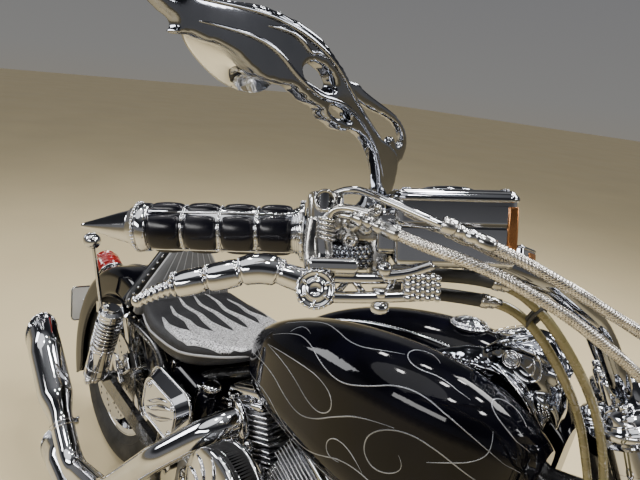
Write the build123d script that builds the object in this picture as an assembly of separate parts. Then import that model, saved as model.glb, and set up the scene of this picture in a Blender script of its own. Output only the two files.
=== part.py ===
from build123d import *
import math
import os

# A chromed cruiser motorcycle parked on its side stand.
# Everything is drawn upright and straight ahead first: x forward, y left, z up, in mm, with the
# origin on the ground under the rear axle. The front assembly is then turned to its left stop,
# and the whole machine leans on its stand and is set down on the floor.

# ---- driving dimensions ----
RAKE = 32.0            # steering head angle from the vertical
AXIS_GROUND_X = 1840.0 # where the steering axis meets the ground
FORK_OFFSET = 25.0     # fork legs ahead of the steering axis
FORK_HALF = 106.0      # fork legs left and right of the middle
R_FRONT, W_FRONT = 320.0, 120.0
R_REAR, W_REAR = 325.0, 140.0
LEAN = 9.0             # parked lean to the left
STEER = 18.2           # turned left, onto the stop
CROWN_F, CROWN_R = 60.0, 71.0   # radius of the tyres' crowns
STAND_FOOT = (862.0, 300.0)     # where the stand's foot meets the floor, x and y of the upright machine
STAND_PIVOT = (742.0, 152.0, 168.0)
BAR_R = 12.7
FORK_TUBE_R, SLIDER_R = 20.5, 29.0
GRIP_IN = (952.0, -419.0, 1075.0)   # right grip, inner and outer end
GRIP_OUT = (844.0, -471.0, 1038.0)
CX, CY = -784.33, -137.97           # shift of the parked machine, to the middle of its bounding box

s_, c_ = math.sin(math.radians(RAKE)), math.cos(math.radians(RAKE))
AXIS_DIR = (-s_, 0.0, c_)
AHEAD = (c_, 0.0, s_)


def ax(s, off=0.0, y=0.0):
    """A point at height s along the steering axis, off mm ahead of it and y to the left."""
    return (AXIS_GROUND_X + AXIS_DIR[0] * s + AHEAD[0] * off, y, AXIS_DIR[2] * s + AHEAD[2] * off)


S_AXLE = (R_FRONT - FORK_OFFSET * s_) / c_
AXLE_F = ax(S_AXLE, FORK_OFFSET)
WHEELBASE = AXLE_F[0]


# ---- parking: turn, lean, pitch and set down, the same sums for every piece ----
def rot(v, axis, deg):
    a = math.radians(deg)
    c, s = math.cos(a), math.sin(a)
    x, y, z = v
    u, w, t = axis
    d = (x * u + y * w + z * t) * (1 - c)
    return (x * c + (w * z - t * y) * s + u * d, y * c + (t * x - u * z) * s + w * d, z * c + (u * y - w * x) * s + t * d)


def turned(p, deg=STEER):
    q = rot((p[0] - AXIS_GROUND_X, p[1], p[2]), AXIS_DIR, deg)
    return (q[0] + AXIS_GROUND_X, q[1], q[2])


def leaned(p, pitch):
    return rot(rot(p, (1, 0, 0), -LEAN), (0, 1, 0), pitch)


def lowest(centre, n, radius, crown):
    return centre[2] - (radius - crown) * math.sqrt(1 - n[2] ** 2) - crown


PITCH = 0.0
for _ in range(12):
    zr = lowest(leaned((0, 0, R_REAR), PITCH), leaned((0, 1, 0), PITCH), R_REAR, CROWN_R)
    nf = rot((0, 1, 0), AXIS_DIR, STEER)
    zf = lowest(leaned(turned(AXLE_F), PITCH), leaned(nf, PITCH), R_FRONT, CROWN_F)
    PITCH += math.degrees(math.atan2(zf - zr, WHEELBASE))
DROP = -lowest(leaned((0, 0, R_REAR), PITCH), leaned((0, 1, 0), PITCH), R_REAR, CROWN_R)
SHIFT = (CX, CY, DROP)


def park(p):
    q = leaned(p, PITCH)
    return (q[0] + SHIFT[0], q[1] + SHIFT[1], q[2] + SHIFT[2])


def unpark(q):
    p = rot((q[0] - SHIFT[0], q[1] - SHIFT[1], q[2] - SHIFT[2]), (0, 1, 0), -PITCH)
    return rot(p, (1, 0, 0), LEAN)


def ground_z(x, y):
    """Height of the floor in the upright machine's frame under (x, y)."""
    z = 0.0
    for _ in range(6):
        z -= park((x, y, z))[2] / math.cos(math.radians(LEAN))
    return z


# ---- shape helpers ----
def vec(p):
    return Vector(*p)


def unit(p, q):
    return (vec(q) - vec(p)).normalized()


def rod(p, q, r, r2=None):
    """A round bar from p to q, tapering to r2."""
    a, b = vec(p), vec(q)
    pl = Plane(origin=a, z_dir=(b - a).normalized())
    if r2 is None or abs(r2 - r) < 1e-6:
        return extrude(pl * Circle(r), (b - a).length)
    return loft([pl * Circle(r), Plane(origin=b, z_dir=(b - a).normalized()) * Circle(r2)])


def turned_part(p, q, profile):
    """A lathe-turned piece on the line from p: profile rows are (distance along, radius)."""
    a, d = vec(p), unit(p, q)
    pl = Plane(origin=a, z_dir=d)
    pts = [(0, profile[0][0])] + [(r, t) for t, r in profile] + [(0, profile[-1][0])]
    clean = [pts[0]]
    for pt in pts[1:]:
        if abs(pt[0] - clean[-1][0]) + abs(pt[1] - clean[-1][1]) > 1e-6:
            clean.append(pt)
    face = make_face(Polyline(*clean, close=True))
    solid = revolve(Plane.XZ * face, Axis.Z)
    return pl.location * solid


def pipe(points, r, cap=1e9, share=0.45):
    """A round tube along straight runs joined by tangent arcs as large as the runs allow."""
    ps = [vec(p) for p in points]
    radii = []
    for a, b, c in zip(ps, ps[1:], ps[2:]):
        u, w = (b - a), (c - b)
        turn = math.radians(u.get_angle(w))
        radii.append(min(cap, share * min(u.length, w.length) / math.tan(turn / 2)))
    line = FilletPolyline(*ps, radius=radii)
    return sweep(Plane(origin=line @ 0, z_dir=line % 0) * Circle(r), path=line)


def bar(points, w, h, up=(0, 0, 1)):
    """Flat bar or box beam segments from point to point, w wide and h deep, mitred by overlap."""
    out = None
    for a, b in zip(points, points[1:]):
        d = unit(a, b)
        x = d.cross(vec(up)).normalized()
        pl = Plane(origin=vec(a), x_dir=x, z_dir=d)
        seg = extrude(pl * Rectangle(w, h), (vec(b) - vec(a)).length)
        out = seg if out is None else out + seg
    return out


def block(lo, hi, r=0.0):
    cx, cy, cz = [(a + b) / 2 for a, b in zip(lo, hi)]
    b = Pos(cx, cy, cz) * Box(hi[0] - lo[0], hi[1] - lo[1], hi[2] - lo[2])
    return fillet(b.edges(), r) if r else b


def section(x, yc, zc, w, h, r):
    """A rounded upright section across the machine at x."""
    pl = Plane(origin=(x, yc, zc), x_dir=(0, 1, 0), z_dir=(1, 0, 0))
    return pl * RectangleRounded(w, h, min(r, 0.49 * min(w, h)))


def both(f):
    """The same piece left and right."""
    return [f(1), f(-1)]


def mirror_y(s):
    return mirror(s, about=Plane.XZ)


def group(shapes):
    """Solids that don't touch, or one solid, as one piece."""
    solids = []
    for s in shapes:
        solids += list(s.solids())
    return solids[0] if len(solids) == 1 else Compound(children=solids)


def fused(shapes):
    out = shapes[0]
    for s in shapes[1:]:
        out = out + s
    return out


parts = {}    # node name: (shape in the upright frame, "frame" or "steer")


def add(name, shape, side="frame"):
    parts[name] = (shape, side)


# ---- wheels ----
def tyre(radius, width, crown, rim_r):
    """Round-shouldered tyre turned about Y: crown arc, side walls, bead at the rim."""
    half = width / 2
    a = radius - crown                      # crown centre from the axle
    ang = math.radians(62)
    px, pz = crown * math.sin(ang), a + crown * math.cos(ang)
    px = min(px, half)
    left = ThreePointArc((-px, pz), (0, radius), (px, pz))
    side1 = ThreePointArc((px, pz), (half, (pz + rim_r) / 2 + 6), (half - 16, rim_r))
    base = Line((half - 16, rim_r), (-(half - 16), rim_r))
    side2 = ThreePointArc((-(half - 16), rim_r), (-half, (pz + rim_r) / 2 + 6), (-px, pz))
    face = make_face(Curve() + [left, side1, base, side2])
    # sketch x is across the wheel (Y), sketch y is the radius
    pl = Plane(origin=(0, 0, 0), x_dir=(0, 1, 0), z_dir=(1, 0, 0))
    return revolve(pl * face, Axis.Y)


def ring(y0, y1, r_in, r_out):
    pl = Plane(origin=(0, y0, 0), x_dir=(1, 0, 0), z_dir=(0, 1, 0))
    return extrude(pl * (Circle(r_out) - Circle(r_in)), y1 - y0)


def disc(y0, y1, r):
    pl = Plane(origin=(0, y0, 0), x_dir=(1, 0, 0), z_dir=(0, 1, 0))
    return extrude(pl * Circle(r), y1 - y0)


SPOKES = 10


def wheel(rim_w, rim_r, hub_r, hub_half, bore, spoke_w):
    """Rim well, hub and plain cast spokes."""
    h = rim_w / 2
    prof = Polyline((-h, rim_r - 0.2), (-h, rim_r - 20), (-h + 14, rim_r - 26), (h - 14, rim_r - 26), (h, rim_r - 20), (h, rim_r - 0.2), close=True)
    pl = Plane(origin=(0, 0, 0), x_dir=(0, 1, 0), z_dir=(1, 0, 0))
    body = revolve(pl * make_face(prof), Axis.Y)
    body = body + disc(-hub_half, hub_half, hub_r)
    for i in range(SPOKES):
        a = 360.0 / SPOKES * i
        arm = Rot(0, a, 0) * (Pos(0, 0, (hub_r + rim_r - 24) / 2) * Box(spoke_w, rim_w * 0.45, rim_r - 22 - hub_r + 8))
        body = body + arm
    return body - disc(-hub_half - 1, hub_half + 1, bore)


RIM_F, RIM_R = 206.0, 206.0
AXLE_R = 11.0
front_centre = Pos(*AXLE_F)
rear_centre = Pos(0, 0, R_REAR)
HUB_HALF_F, HUB_HALF_R = 58.0, 76.0

add("front_tyre", front_centre * tyre(R_FRONT, W_FRONT, CROWN_F, RIM_F), "steer")
add("front_wheel", front_centre * wheel(96, RIM_F, 44, HUB_HALF_F, AXLE_R + 0.4, 20), "steer")
add("front_brake_discs", front_centre * group([ring(-HUB_HALF_F - 6, -HUB_HALF_F - 0.0, 20, 146), ring(HUB_HALF_F, HUB_HALF_F + 6, 20, 146)]), "steer")
add("rear_tyre", rear_centre * tyre(R_REAR, W_REAR, CROWN_R, RIM_R))
add("rear_wheel", rear_centre * wheel(106, RIM_R, 50, HUB_HALF_R, AXLE_R + 0.4, 24))
add("rear_brake_disc", rear_centre * ring(-HUB_HALF_R - 6, -HUB_HALF_R, 20, 146))
add("rear_pulley", rear_centre * ring(HUB_HALF_R, HUB_HALF_R + 18, 20, 118))

# ---- steering assembly (straight ahead) ----
S_TOP, S_LOW = 1098.0, 905.0        # middle of the upper and lower clamp along the axis
S_CAP = 1122.0


def clamp(s, thick, half_w, rear):
    pl = Plane(origin=ax(s - thick / 2), x_dir=AHEAD, z_dir=AXIS_DIR)
    web = make_face(Polyline((-rear, -22), (-2, -half_w + 20), (52, -half_w + 20), (58, 0), (52, half_w - 20), (-2, half_w - 20), (-rear, 22), close=True))
    out = extrude(pl * web, thick)
    for y in (FORK_HALF, -FORK_HALF):
        out = out + extrude(pl * (Pos(FORK_OFFSET, y) * Circle(half_w - FORK_HALF)), thick)
    return out


clamps = [clamp(S_TOP, 26, FORK_HALF + 31, 30), clamp(S_LOW, 32, FORK_HALF + 33, 30)]
stem = rod(ax(S_LOW - 30), ax(S_TOP + 18), 16)
fork_holes = [rod(ax(S_LOW - 60, FORK_OFFSET, y), ax(S_TOP + 60, FORK_OFFSET, y), FORK_TUBE_R + 0.02) for y in (FORK_HALF, -FORK_HALF)]
# the two throttle cables end in stops on the lower clamp
STOP_A, STOP_B = ax(933, -12, -84), ax(933, -23, -67)
stops = [rod(STOP_A, ax(915.8, -2.5, -70.2), 7.5), rod(STOP_B, ax(917.8, -12.6, -51.8), 7.5)]
triple = fused(clamps + [stem] + stops)
for h in fork_holes:
    triple = triple - h
add("fork_clamps", triple, "steer")

RISER_Y, RISER_OFF = 50.0, 30.0
BAR_S = 1152.0
BAR_MID = ax(BAR_S, RISER_OFF)
risers = [rod(ax(S_TOP + 13.0, RISER_OFF, y), ax(BAR_S + 22, RISER_OFF, y), 19) for y in (RISER_Y, -RISER_Y)]

# fork legs: fixed tube above, lower slider with the axle lug
legs = []
for y in (FORK_HALF, -FORK_HALF):
    legs.append(turned_part(ax(S_AXLE - 34, FORK_OFFSET, y), ax(S_CAP, FORK_OFFSET, y), [
        (0, 22), (8, 26), (60, 27), (80, SLIDER_R), (318, SLIDER_R), (326, 33), (352, 33), (356, FORK_TUBE_R),
        (S_CAP - S_AXLE + 34 - 10, FORK_TUBE_R), (S_CAP - S_AXLE + 34, 15)]))
axle = rod((AXLE_F[0], -FORK_HALF - 26, AXLE_F[2]), (AXLE_F[0], FORK_HALF + 26, AXLE_F[2]), AXLE_R)
add("fork_legs", fused(legs + [axle]), "steer")
COVER_R = 31.0
covers = []
for y in (FORK_HALF, -FORK_HALF):
    t = rod(ax(S_LOW + 16.3, FORK_OFFSET, y), ax(S_TOP - 13.3, FORK_OFFSET, y), COVER_R)
    covers.append(t - rod(ax(S_LOW, FORK_OFFSET, y), ax(S_TOP, FORK_OFFSET, y), FORK_TUBE_R + 0.3))

bar_right = [BAR_MID, ax(BAR_S, RISER_OFF, -76), (1200, -112, 1066), (1126, -262, 1097), (1034, -380, 1101), GRIP_IN, GRIP_OUT]
bar_points = [(p[0], -p[1], p[2]) for p in bar_right[:0:-1]] + bar_right[1:]
handlebar = pipe(bar_points, BAR_R, cap=90)
for r in risers:
    handlebar = handlebar + r
add("handlebar", handlebar, "steer")

gdir = unit(GRIP_IN, GRIP_OUT)


def along(t):
    p = vec(GRIP_IN) + gdir * t
    return (p.X, p.Y, p.Z)


# grip: collar, ribbed pads, stepped end and pointed cap, distances along from the inner end
GRIP_PROFILE = [(0, 21.5), (5, 21.5), (5, 17), (8, 19), (124, 19), (124, 20), (137, 20), (139, 13), (148, 11), (182, 1.5)]
grip = turned_part(along(0), along(150), GRIP_PROFILE) - rod(along(-5), along(126), BAR_R + 0.02)
add("right_grip", grip, "steer")
add("left_grip", mirror_y(grip), "steer")


def local_frame(t, up=(0, 0, 1)):
    """Plane on the bar near the grip: local x along the bar inwards, local y forward, local z up."""
    xdir = gdir * -1
    z = vec(up) - xdir * xdir.dot(vec(up))
    return Plane(origin=vec(along(t)), x_dir=xdir, z_dir=z.normalized())


LF = local_frame(0)


def lbox(x0, x1, y0, y1, z0, z1, r=2.0):
    b = Pos((x0 + x1) / 2, (y0 + y1) / 2, (z0 + z1) / 2) * Box(x1 - x0, y1 - y0, z1 - z0)
    if r:
        b = fillet(b.edges(), r)
    return LF.location * b


def lpt(x, y, z):
    v = LF.from_local_coords(Vector(x, y, z))
    return (v.X, v.Y, v.Z)


# switch housing wraps the bar next to the grip; the hydraulic cylinder and its reservoir sit inboard
housing = lbox(1.0, 46, -21, 24, -21, 22, 6) - rod(along(8), along(-60), BAR_R + 0.3)
cyl = fused([lbox(47, 76, -22, 20, -19, 20, 5), lbox(52, 146, -46, -8, -12, 8, 4)]) - rod(along(8), along(-170), BAR_R + 0.3)
reservoir = lbox(64, 148, -52, 12, 6, 34, 6)
arm = lbox(4, 40, -60, -14, -25, -14, 4)
banjo = rod(lpt(14, -35, -16), lpt(14, -35, 30), 10)
housing = housing + arm + banjo - rod(along(8), along(-60), BAR_R + 0.3)
master = fused([cyl, reservoir, lbox(64, 148, -52, -18, -20, 12, 5)]) - rod(along(8), along(-170), BAR_R + 0.3)
add("right_bar_controls", group([housing, master]), "steer")
add("left_bar_controls", mirror_y(group([housing, master])), "steer")
parts_lever = [
    rod(lpt(11, -47, -46), lpt(11, -47, -25.5), 13),
    pipe([lpt(11, -47, -35), lpt(-14, -50, -30), lpt(-40, -49, -20), lpt(-62, -50, -25), lpt(-83, -52, -32), lpt(-102, -54, -42), lpt(-116, -56, -51)], 8.4, cap=40),
    rod(lpt(11, -47, -36), lpt(88, -44, -33), 6.5),
    lbox(76, 98, -56, -34, -42, -24, 4),
]
lever = fused(parts_lever)
add("brake_lever", lever, "steer")
add("clutch_lever", mirror_y(lever), "steer")

# mirrors: stem from the clamp, plate head facing the rider
mir_stem = pipe([(984, -388, 1108), (983, -392, 1132), (975, -412, 1153), (958, -470, 1166)], 7, cap=60)
mir_head = Pos(950, -522, 1171) * (Rot(0, 0, -14.4) * Box(14, 160, 42))
mir_head = fillet(mir_head.edges(), 5)
mirror_solid = fused([mir_stem, mir_head])
add("mirrors", group([mirror_solid, mirror_y(mirror_solid)]), "steer")

# headlight and lamps
HL = ax(1000, 160)
shell = turned_part((HL[0] - 60, 0, HL[2] + 6), (HL[0] + 100, 0, HL[2] - 4), [(0, 30), (12, 58), (50, 84), (110, 92), (150, 94), (152, 88), (158, 60), (160, 10)])
bracket = fused([bar([ax(S_LOW + 26, FORK_OFFSET + 28, 0), (HL[0] - 8, 0, HL[2] - 70)], 60, 14, up=(0, 0, 1)), shell])
add("headlight", bracket, "steer")
sig = []
for sy in (1, -1):
    c = ax(960, FORK_OFFSET + 6, sy * (FORK_HALF + 92))
    sig.append(fused([rod(ax(960, FORK_OFFSET + 6, sy * (FORK_HALF + COVER_R - 3)), c, 7),
                      turned_part((c[0] - 30, c[1], c[2]), (c[0] + 40, c[1], c[2]), [(0, 8), (10, 22), (35, 30), (58, 30), (64, 16)])]))
covers = [covers[0] + sig[0], covers[1] + sig[1]]
covers = [cv - rod(ax(S_LOW, FORK_OFFSET, y), ax(S_TOP, FORK_OFFSET, y), FORK_TUBE_R + 0.3) for cv, y in zip(covers, (FORK_HALF, -FORK_HALF))]
add("fork_covers_and_signals", group(covers), "steer")

# front mudguard: a shell over the tyre with stays to the sliders
FEN_F_IN, FEN_F_OUT = R_FRONT + 16, R_FRONT + 20


def fender(r_in, r_out, half, skirt, a0, a1):
    """Curved guard about Y: crown and side skirts, kept between the angles a0 and a1 (from straight up, forward positive)."""
    prof_out = make_face(Polyline((-half - 4, r_out - skirt), (-half - 4, r_out - 26), (-half + 22, r_out), (half - 22, r_out), (half + 4, r_out - 26), (half + 4, r_out - skirt),
                                  (half, r_out - skirt), (half, r_in - 24), (half - 22, r_in), (-half + 22, r_in), (-half, r_in - 24), (-half, r_out - skirt), close=True))
    pl = Plane(origin=(0, 0, 0), x_dir=(0, 1, 0), z_dir=(1, 0, 0))
    start = Rot(0, a0, 0) * (pl * prof_out)
    return revolve(start, Axis.Y, revolution_arc=a1 - a0)


fen_f = front_centre * fender(FEN_F_IN, FEN_F_OUT, 66, 70, -112, 28)
stays = []
for sy in (1, -1):
    stays.append(bar([ax(S_AXLE + 200, FORK_OFFSET, sy * 80), ax(S_AXLE + 200, FORK_OFFSET - 8, sy * 73)], 60, 10, up=(0, 0, 1)))
add("front_mudguard", fen_f, "steer")
cal = []
for sy in (1, -1):
    c = ax(S_AXLE + 88, -84, sy * 70)
    cal.append(Pos(c[0], sy * 70, c[2]) * Box(70, 38, 60))
cal = [fillet(x.edges(), 6) for x in cal]
cal_cut = front_centre * group([ring(-HUB_HALF_F - 12, -HUB_HALF_F + 6, 5, 154), ring(HUB_HALF_F - 6, HUB_HALF_F + 12, 5, 154)])
cal = [x - cal_cut for x in cal]
add("front_calipers", group(cal), "steer")

# ---- chassis ----
HEAD = rod(ax(S_LOW + 18), ax(S_TOP - 15), 31) - rod(ax(S_LOW), ax(S_TOP), 16.5)
backbone = pipe([ax(1000, -20), (1150, 0, 796), (690, 0, 708), (596, 0, 655)], 21, cap=220)
head_frame = fused([HEAD, backbone]) - rod(ax(S_LOW), ax(S_TOP), 16.5)
add("steering_head_and_backbone", head_frame)
cradle = []
for sy in (1, -1):
    cradle.append(pipe([ax(962, -34, sy * 20), (1235, sy * 62, 560), (1105, sy * 118, 190), (990, sy * 128, 140), (520, sy * 128, 140), (424, sy * 137, 250), (432, sy * 137, 520), (486, sy * 70, 592), (584, sy * 16, 645)], 14, cap=110))
cross = [rod((500, -128, 141), (500, 128, 141), 12), rod((990, -126, 143), (990, 126, 143), 12)]
rails = [pipe([(432, sy * 137, 470), (340, sy * 122, 588), (140, sy * 117, 592)], 13, cap=120) for sy in (1, -1)]

# V-twin engine, with the crank at ENG
ENG = (770.0, 0.0, 330.0)
V_HALF = 24.0
crank = fused([block((585, -112, 168), (960, 112, 400), 18), block((455, -100, 190), (600, 100, 395), 16)])
add("crankcase_and_gearbox", crank)
for name, sgn in (("front_cylinder", 1), ("rear_cylinder", -1)):
    d = Vector(sgn * math.sin(math.radians(V_HALF)), 0, math.cos(math.radians(V_HALF)))
    pl = Plane(origin=vec(ENG) + d * 88, x_dir=(0, 1, 0), z_dir=d)
    barrel = extrude(pl * RectangleRounded(156, 146, 50), 150)
    pl2 = Plane(origin=vec(ENG) + d * 232, x_dir=(0, 1, 0), z_dir=d)
    head = extrude(pl2 * RectangleRounded(176, 150, 34), 70)
    pl3 = Plane(origin=vec(ENG) + d * 300, x_dir=(0, 1, 0), z_dir=d)
    rocker = extrude(pl3 * RectangleRounded(160, 118, 30), 44)
    cylr = fused([barrel, head, rocker]) - block((400, -200, 100), (1200, 200, 400.2))
    if sgn < 0:
        cylr = cylr - block((770 - 6, -200, 300), (1200, 200, 800))
    else:
        cylr = cylr - block((300, -200, 300), (770 + 6, 200, 800))
    add(name, cylr)
add("primary_cover", fillet((Pos(720, 112.3 + 28, 296) * Box(420, 56, 172)).edges(), 26))
cam = turned_part((770, -112.3, 300), (770, -180, 300), [(0, 105), (26, 105), (34, 90), (44, 60), (50, 58), (54, 40)])
add("cam_cover", cam)
air = fused([turned_part((745, -150, 500), (745, -260, 500), [(0, 78), (8, 90), (44, 92), (62, 70), (68, 30)]), rod((745, -89, 500), (745, -152, 500), 26)])
add("air_cleaner", air)

# exhaust pipes: rear cylinder above, front cylinder below, both swept up with slash-cut ends
EX_R, TIP_R = 30.0, 45.0
PORT_R = (648, -96, 560)
up_pts = [(655, -84, 585), (640, -150, 572), (560, -232, 470), (400, -262, 262), (209, -264, 197)]
ELBOW = (209, -264, 197)
TIP = (-108, -273, 445)
edir = unit(ELBOW, TIP)


def at(p, d, t):
    q = vec(p) + d * t
    return (q.X, q.Y, q.Z)


def slash(solid, p, d, tilt):
    """Cuts the outlet at an angle: keeps what is behind a plane through p tilted back from d."""
    n = (d * math.cos(math.radians(tilt)) + Vector(0, 0, 1) * math.sin(math.radians(tilt))).normalized()
    pl = Plane(origin=vec(p), z_dir=n)
    return solid - pl.location * (Pos(0, 0, 200) * Box(500, 500, 400))


upper = pipe(up_pts + [at(ELBOW, edir, 150)], EX_R, cap=95)
muffler = loft([Plane(origin=vec(at(ELBOW, edir, 130)), z_dir=edir) * Circle(EX_R + 1), Plane(origin=vec(at(ELBOW, edir, 215)), z_dir=edir) * Circle(TIP_R)])
muffler = muffler + rod(at(ELBOW, edir, 215), at(TIP, edir, 70), TIP_R)
muffler = slash(muffler, TIP, edir, -38)
bore_end = rod(at(ELBOW, edir, 230), at(TIP, edir, 90), TIP_R - 3)
add("upper_exhaust", fused([upper, muffler]) - bore_end)
LOW_ELBOW = (330, -244, 92)
LOW_TIP = (46, -252, 142)
ldir = unit(LOW_ELBOW, LOW_TIP)
lower = pipe([(915, -84, 540), (950, -160, 500), (964, -200, 330), (905, -226, 132), (640, -240, 90), LOW_ELBOW, at(LOW_ELBOW, ldir, 110)], EX_R, cap=110)
lmuf = loft([Plane(origin=vec(at(LOW_ELBOW, ldir, 100)), z_dir=ldir) * Circle(EX_R + 1), Plane(origin=vec(at(LOW_ELBOW, ldir, 160)), z_dir=ldir) * Circle(TIP_R - 3)])
lmuf = lmuf + rod(at(LOW_ELBOW, ldir, 160), at(LOW_TIP, ldir, 60), TIP_R - 3)
lmuf = slash(lmuf, LOW_TIP, ldir, -38)
lbore = rod(at(LOW_ELBOW, ldir, 180), at(LOW_TIP, ldir, 90), TIP_R - 7)
add("lower_exhaust", fused([lower, lmuf]) - lbore)

# ---- tank, console, seat ----
TANK_GAP = 24.0
# rows: x, width, middle height, height, corner radius
TANK = [
    (622, 30, 752, 30, 14),
    (690, 108, 764, 140, 46),
    (800, 148, 790, 212, 66),
    (960, 168, 812, 262, 76),
    (1110, 152, 826, 246, 66),
    (1190, 104, 830, 180, 46),
    (1222, 58, 832, 112, 27),
]
tank_r = loft([section(x, -(TANK_GAP + w / 2), zc, w, h, r) for x, w, zc, h, r in TANK])
add("fuel_tank", group([tank_r, mirror_y(tank_r)]))
# rows: x, middle height, width, height, corner radius
DASH = [(1092, 955, 56, 40, 14), (1122, 973, 78, 80, 30), (1164, 971, 80, 90, 34), (1190, 948, 68, 68, 28), (1206, 916, 44, 44, 18)]
hood = loft([section(x, 0, zc, w, h, r) for x, zc, w, h, r in DASH])
console = loft([section(980, 0, 900, 30, 14, 6), section(1040, 0, 922, 46, 52, 16), section(1100, 0, 930, 46, 70, 16)])
add("tank_console", fused([console, block((1084, -23, 874), (1200, 23, 930), 6), hood]))

# rows: x, y middle, middle height, width, height, corner radius
SEAT = [(236, 0, 668, 300, 70, 30), (330, 0, 655, 338, 84, 40), (470, 0, 664, 326, 84, 40), (560, 0, 686, 220, 58, 27), (612, 0, 704, 100, 34, 16)]
add("rider_seat", loft([section(*r) for r in SEAT]))


def level(z, x, dx, dy, r):
    return Plane(origin=(x, 0, z)) * RectangleRounded(dx, dy, r)


add("seat_back_pad", loft([level(642, 212, 38, 312, 16), level(690, 210, 40, 296, 18), level(862, 194, 26, 74, 12)]))
hoop_pts = [(180, -118, 607), (180, -150, 634), (179, -160, 668), (172, -46, 838), (170, 0, 864)]
hoop = fused([bar([a, b], 8, 30, up=(0, 0, 1) if i < 1 else (0, 1, 0.2)) for i, (a, b) in enumerate(zip(hoop_pts, hoop_pts[1:]))])
add("backrest_hoop", fused([hoop, mirror_y(hoop)]))

# rear mudguard and what it carries
FEN_R_IN, FEN_R_OUT = R_REAR + 22, R_REAR + 26
fen_r = rear_centre * fender(FEN_R_IN, FEN_R_OUT, 86, 96, -118, 62)
add("rear_mudguard", fen_r)
strut = [bar([(300, sy * 97.5, 578), (60, sy * 97.5, 578), (-150, sy * 97.5, 500)], 11, 36, up=(0, 0, 1)) for sy in (1, -1)]
add("mudguard_struts", group(strut))
add("tail_light", turned_part((-300, 0, 560), (-380, 0, 590), [(0, 30), (20, 44), (52, 44), (64, 30)]))
sigs = []
for sy in (1, -1):
    c = (-126, sy * 150, 742)
    sigs.append(fused([rod((-96, sy * 110, 524), (-122, sy * 148, 730), 6), Pos(*c) * Sphere(25), rod((c[0], c[1], c[2]), (c[0] - 34, c[1], c[2]), 16)]))
add("rear_turn_signals", group(sigs))
add("number_plate", Pos(-398, 0, 400) * (Rot(0, -14, 0) * Box(3, 180, 120)))

# swinging arm, dampers, belt
PIVOT = (418.0, 0.0, 300.0)
arms = [bar([(PIVOT[0], sy * 110, PIVOT[2]), (-40, sy * 110, R_REAR)], 18, 46, up=(0, 0, 1)) for sy in (1, -1)]
lugs = [rod((38, sy * 112, 345), (38, sy * 140, 345), 13) for sy in (1, -1)]
swing = fused(arms + lugs + [rod((PIVOT[0], -110, PIVOT[2]), (PIVOT[0], 110, PIVOT[2]), 24), rod((0, -122, R_REAR), (0, 122, R_REAR), AXLE_R)])
add("swinging_arm", swing)
damp = []
for sy in (1, -1):
    damp.append(turned_part((38, sy * 160, 345), (100, sy * 160, 615), [(0, 18), (24, 18), (26, 34), (140, 34), (142, 30), (232, 30), (240, 34), (262, 34), (268, 20), (277, 20)]))
add("dampers", group(damp))

covers_side = []
for sgn in (-1, 1):
    covers_side.append(loft([Plane(origin=(0, sgn * 152, 0), x_dir=(1, 0, 0), z_dir=(0, -1, 0)) * (Pos(455, 510) * RectangleRounded(190, 140, 40)),
                             Plane(origin=(0, sgn * 180, 0), x_dir=(1, 0, 0), z_dir=(0, -1, 0)) * (Pos(455, 510) * RectangleRounded(160, 108, 34))]))
add("side_covers", group(covers_side))

# forward foot controls
pegs = []
for sy in (1, -1):
    peg = fused([block((1060, min(sy * 134, sy * 150), 208), (1190, max(sy * 134, sy * 150), 286), 4),
                 turned_part((1150, sy * 138, 262), (1150, sy * 300, 262), [(0, 12), (20, 12), (24, 19), (150, 19), (156, 12)]),
                 bar([(1176, sy * 146, 236), (1230, sy * 160, 300), (1280, sy * 214, 346)], 12, 8, up=(0, 0, 1)),
                 rod((1280, sy * 200, 346), (1280, sy * 262, 346), 11)])
    pegs.append(peg)
add("forward_foot_controls", group(pegs))

# ---- side stand ----
fx, fy = STAND_FOOT
fz = ground_z(fx, fy)
# floor directions in the upright frame
gx = Vector(*unpark(tuple(a + b for a, b in zip(park((fx, fy, fz)), (1, 0, 0))))) - Vector(fx, fy, fz)
gz = Vector(*unpark(tuple(a + b for a, b in zip(park((fx, fy, fz)), (0, 0, 1))))) - Vector(fx, fy, fz)
foot_pl = Plane(origin=(fx, fy, fz), x_dir=gx, z_dir=gz)
foot = extrude(foot_pl * RectangleRounded(74, 44, 18), 9)
pv, ft = vec(STAND_PIVOT), Vector(fx, fy, fz + 13)
STAND_AXIS = (ft - pv).cross(Vector(-0.98, 0.12, 0.02)).normalized()   # folds back along the lower rail
leg = rod(STAND_PIVOT, (fx, fy, fz + 13), 12.5, 10)
leg = leg + rod(at(STAND_PIVOT, STAND_AXIS, -13.5), at(STAND_PIVOT, STAND_AXIS, 13), 18)
leg = leg - foot_pl.location * (Pos(0, 0, -50) * Box(400, 400, 100))
add("side_stand", fused([leg, foot]), "stand")
lug = rod(at(STAND_PIVOT, STAND_AXIS, -30), at(STAND_PIVOT, STAND_AXIS, -14), 18)
add("cradle_frame", fused(cradle + cross + rails + [lug]))

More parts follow.
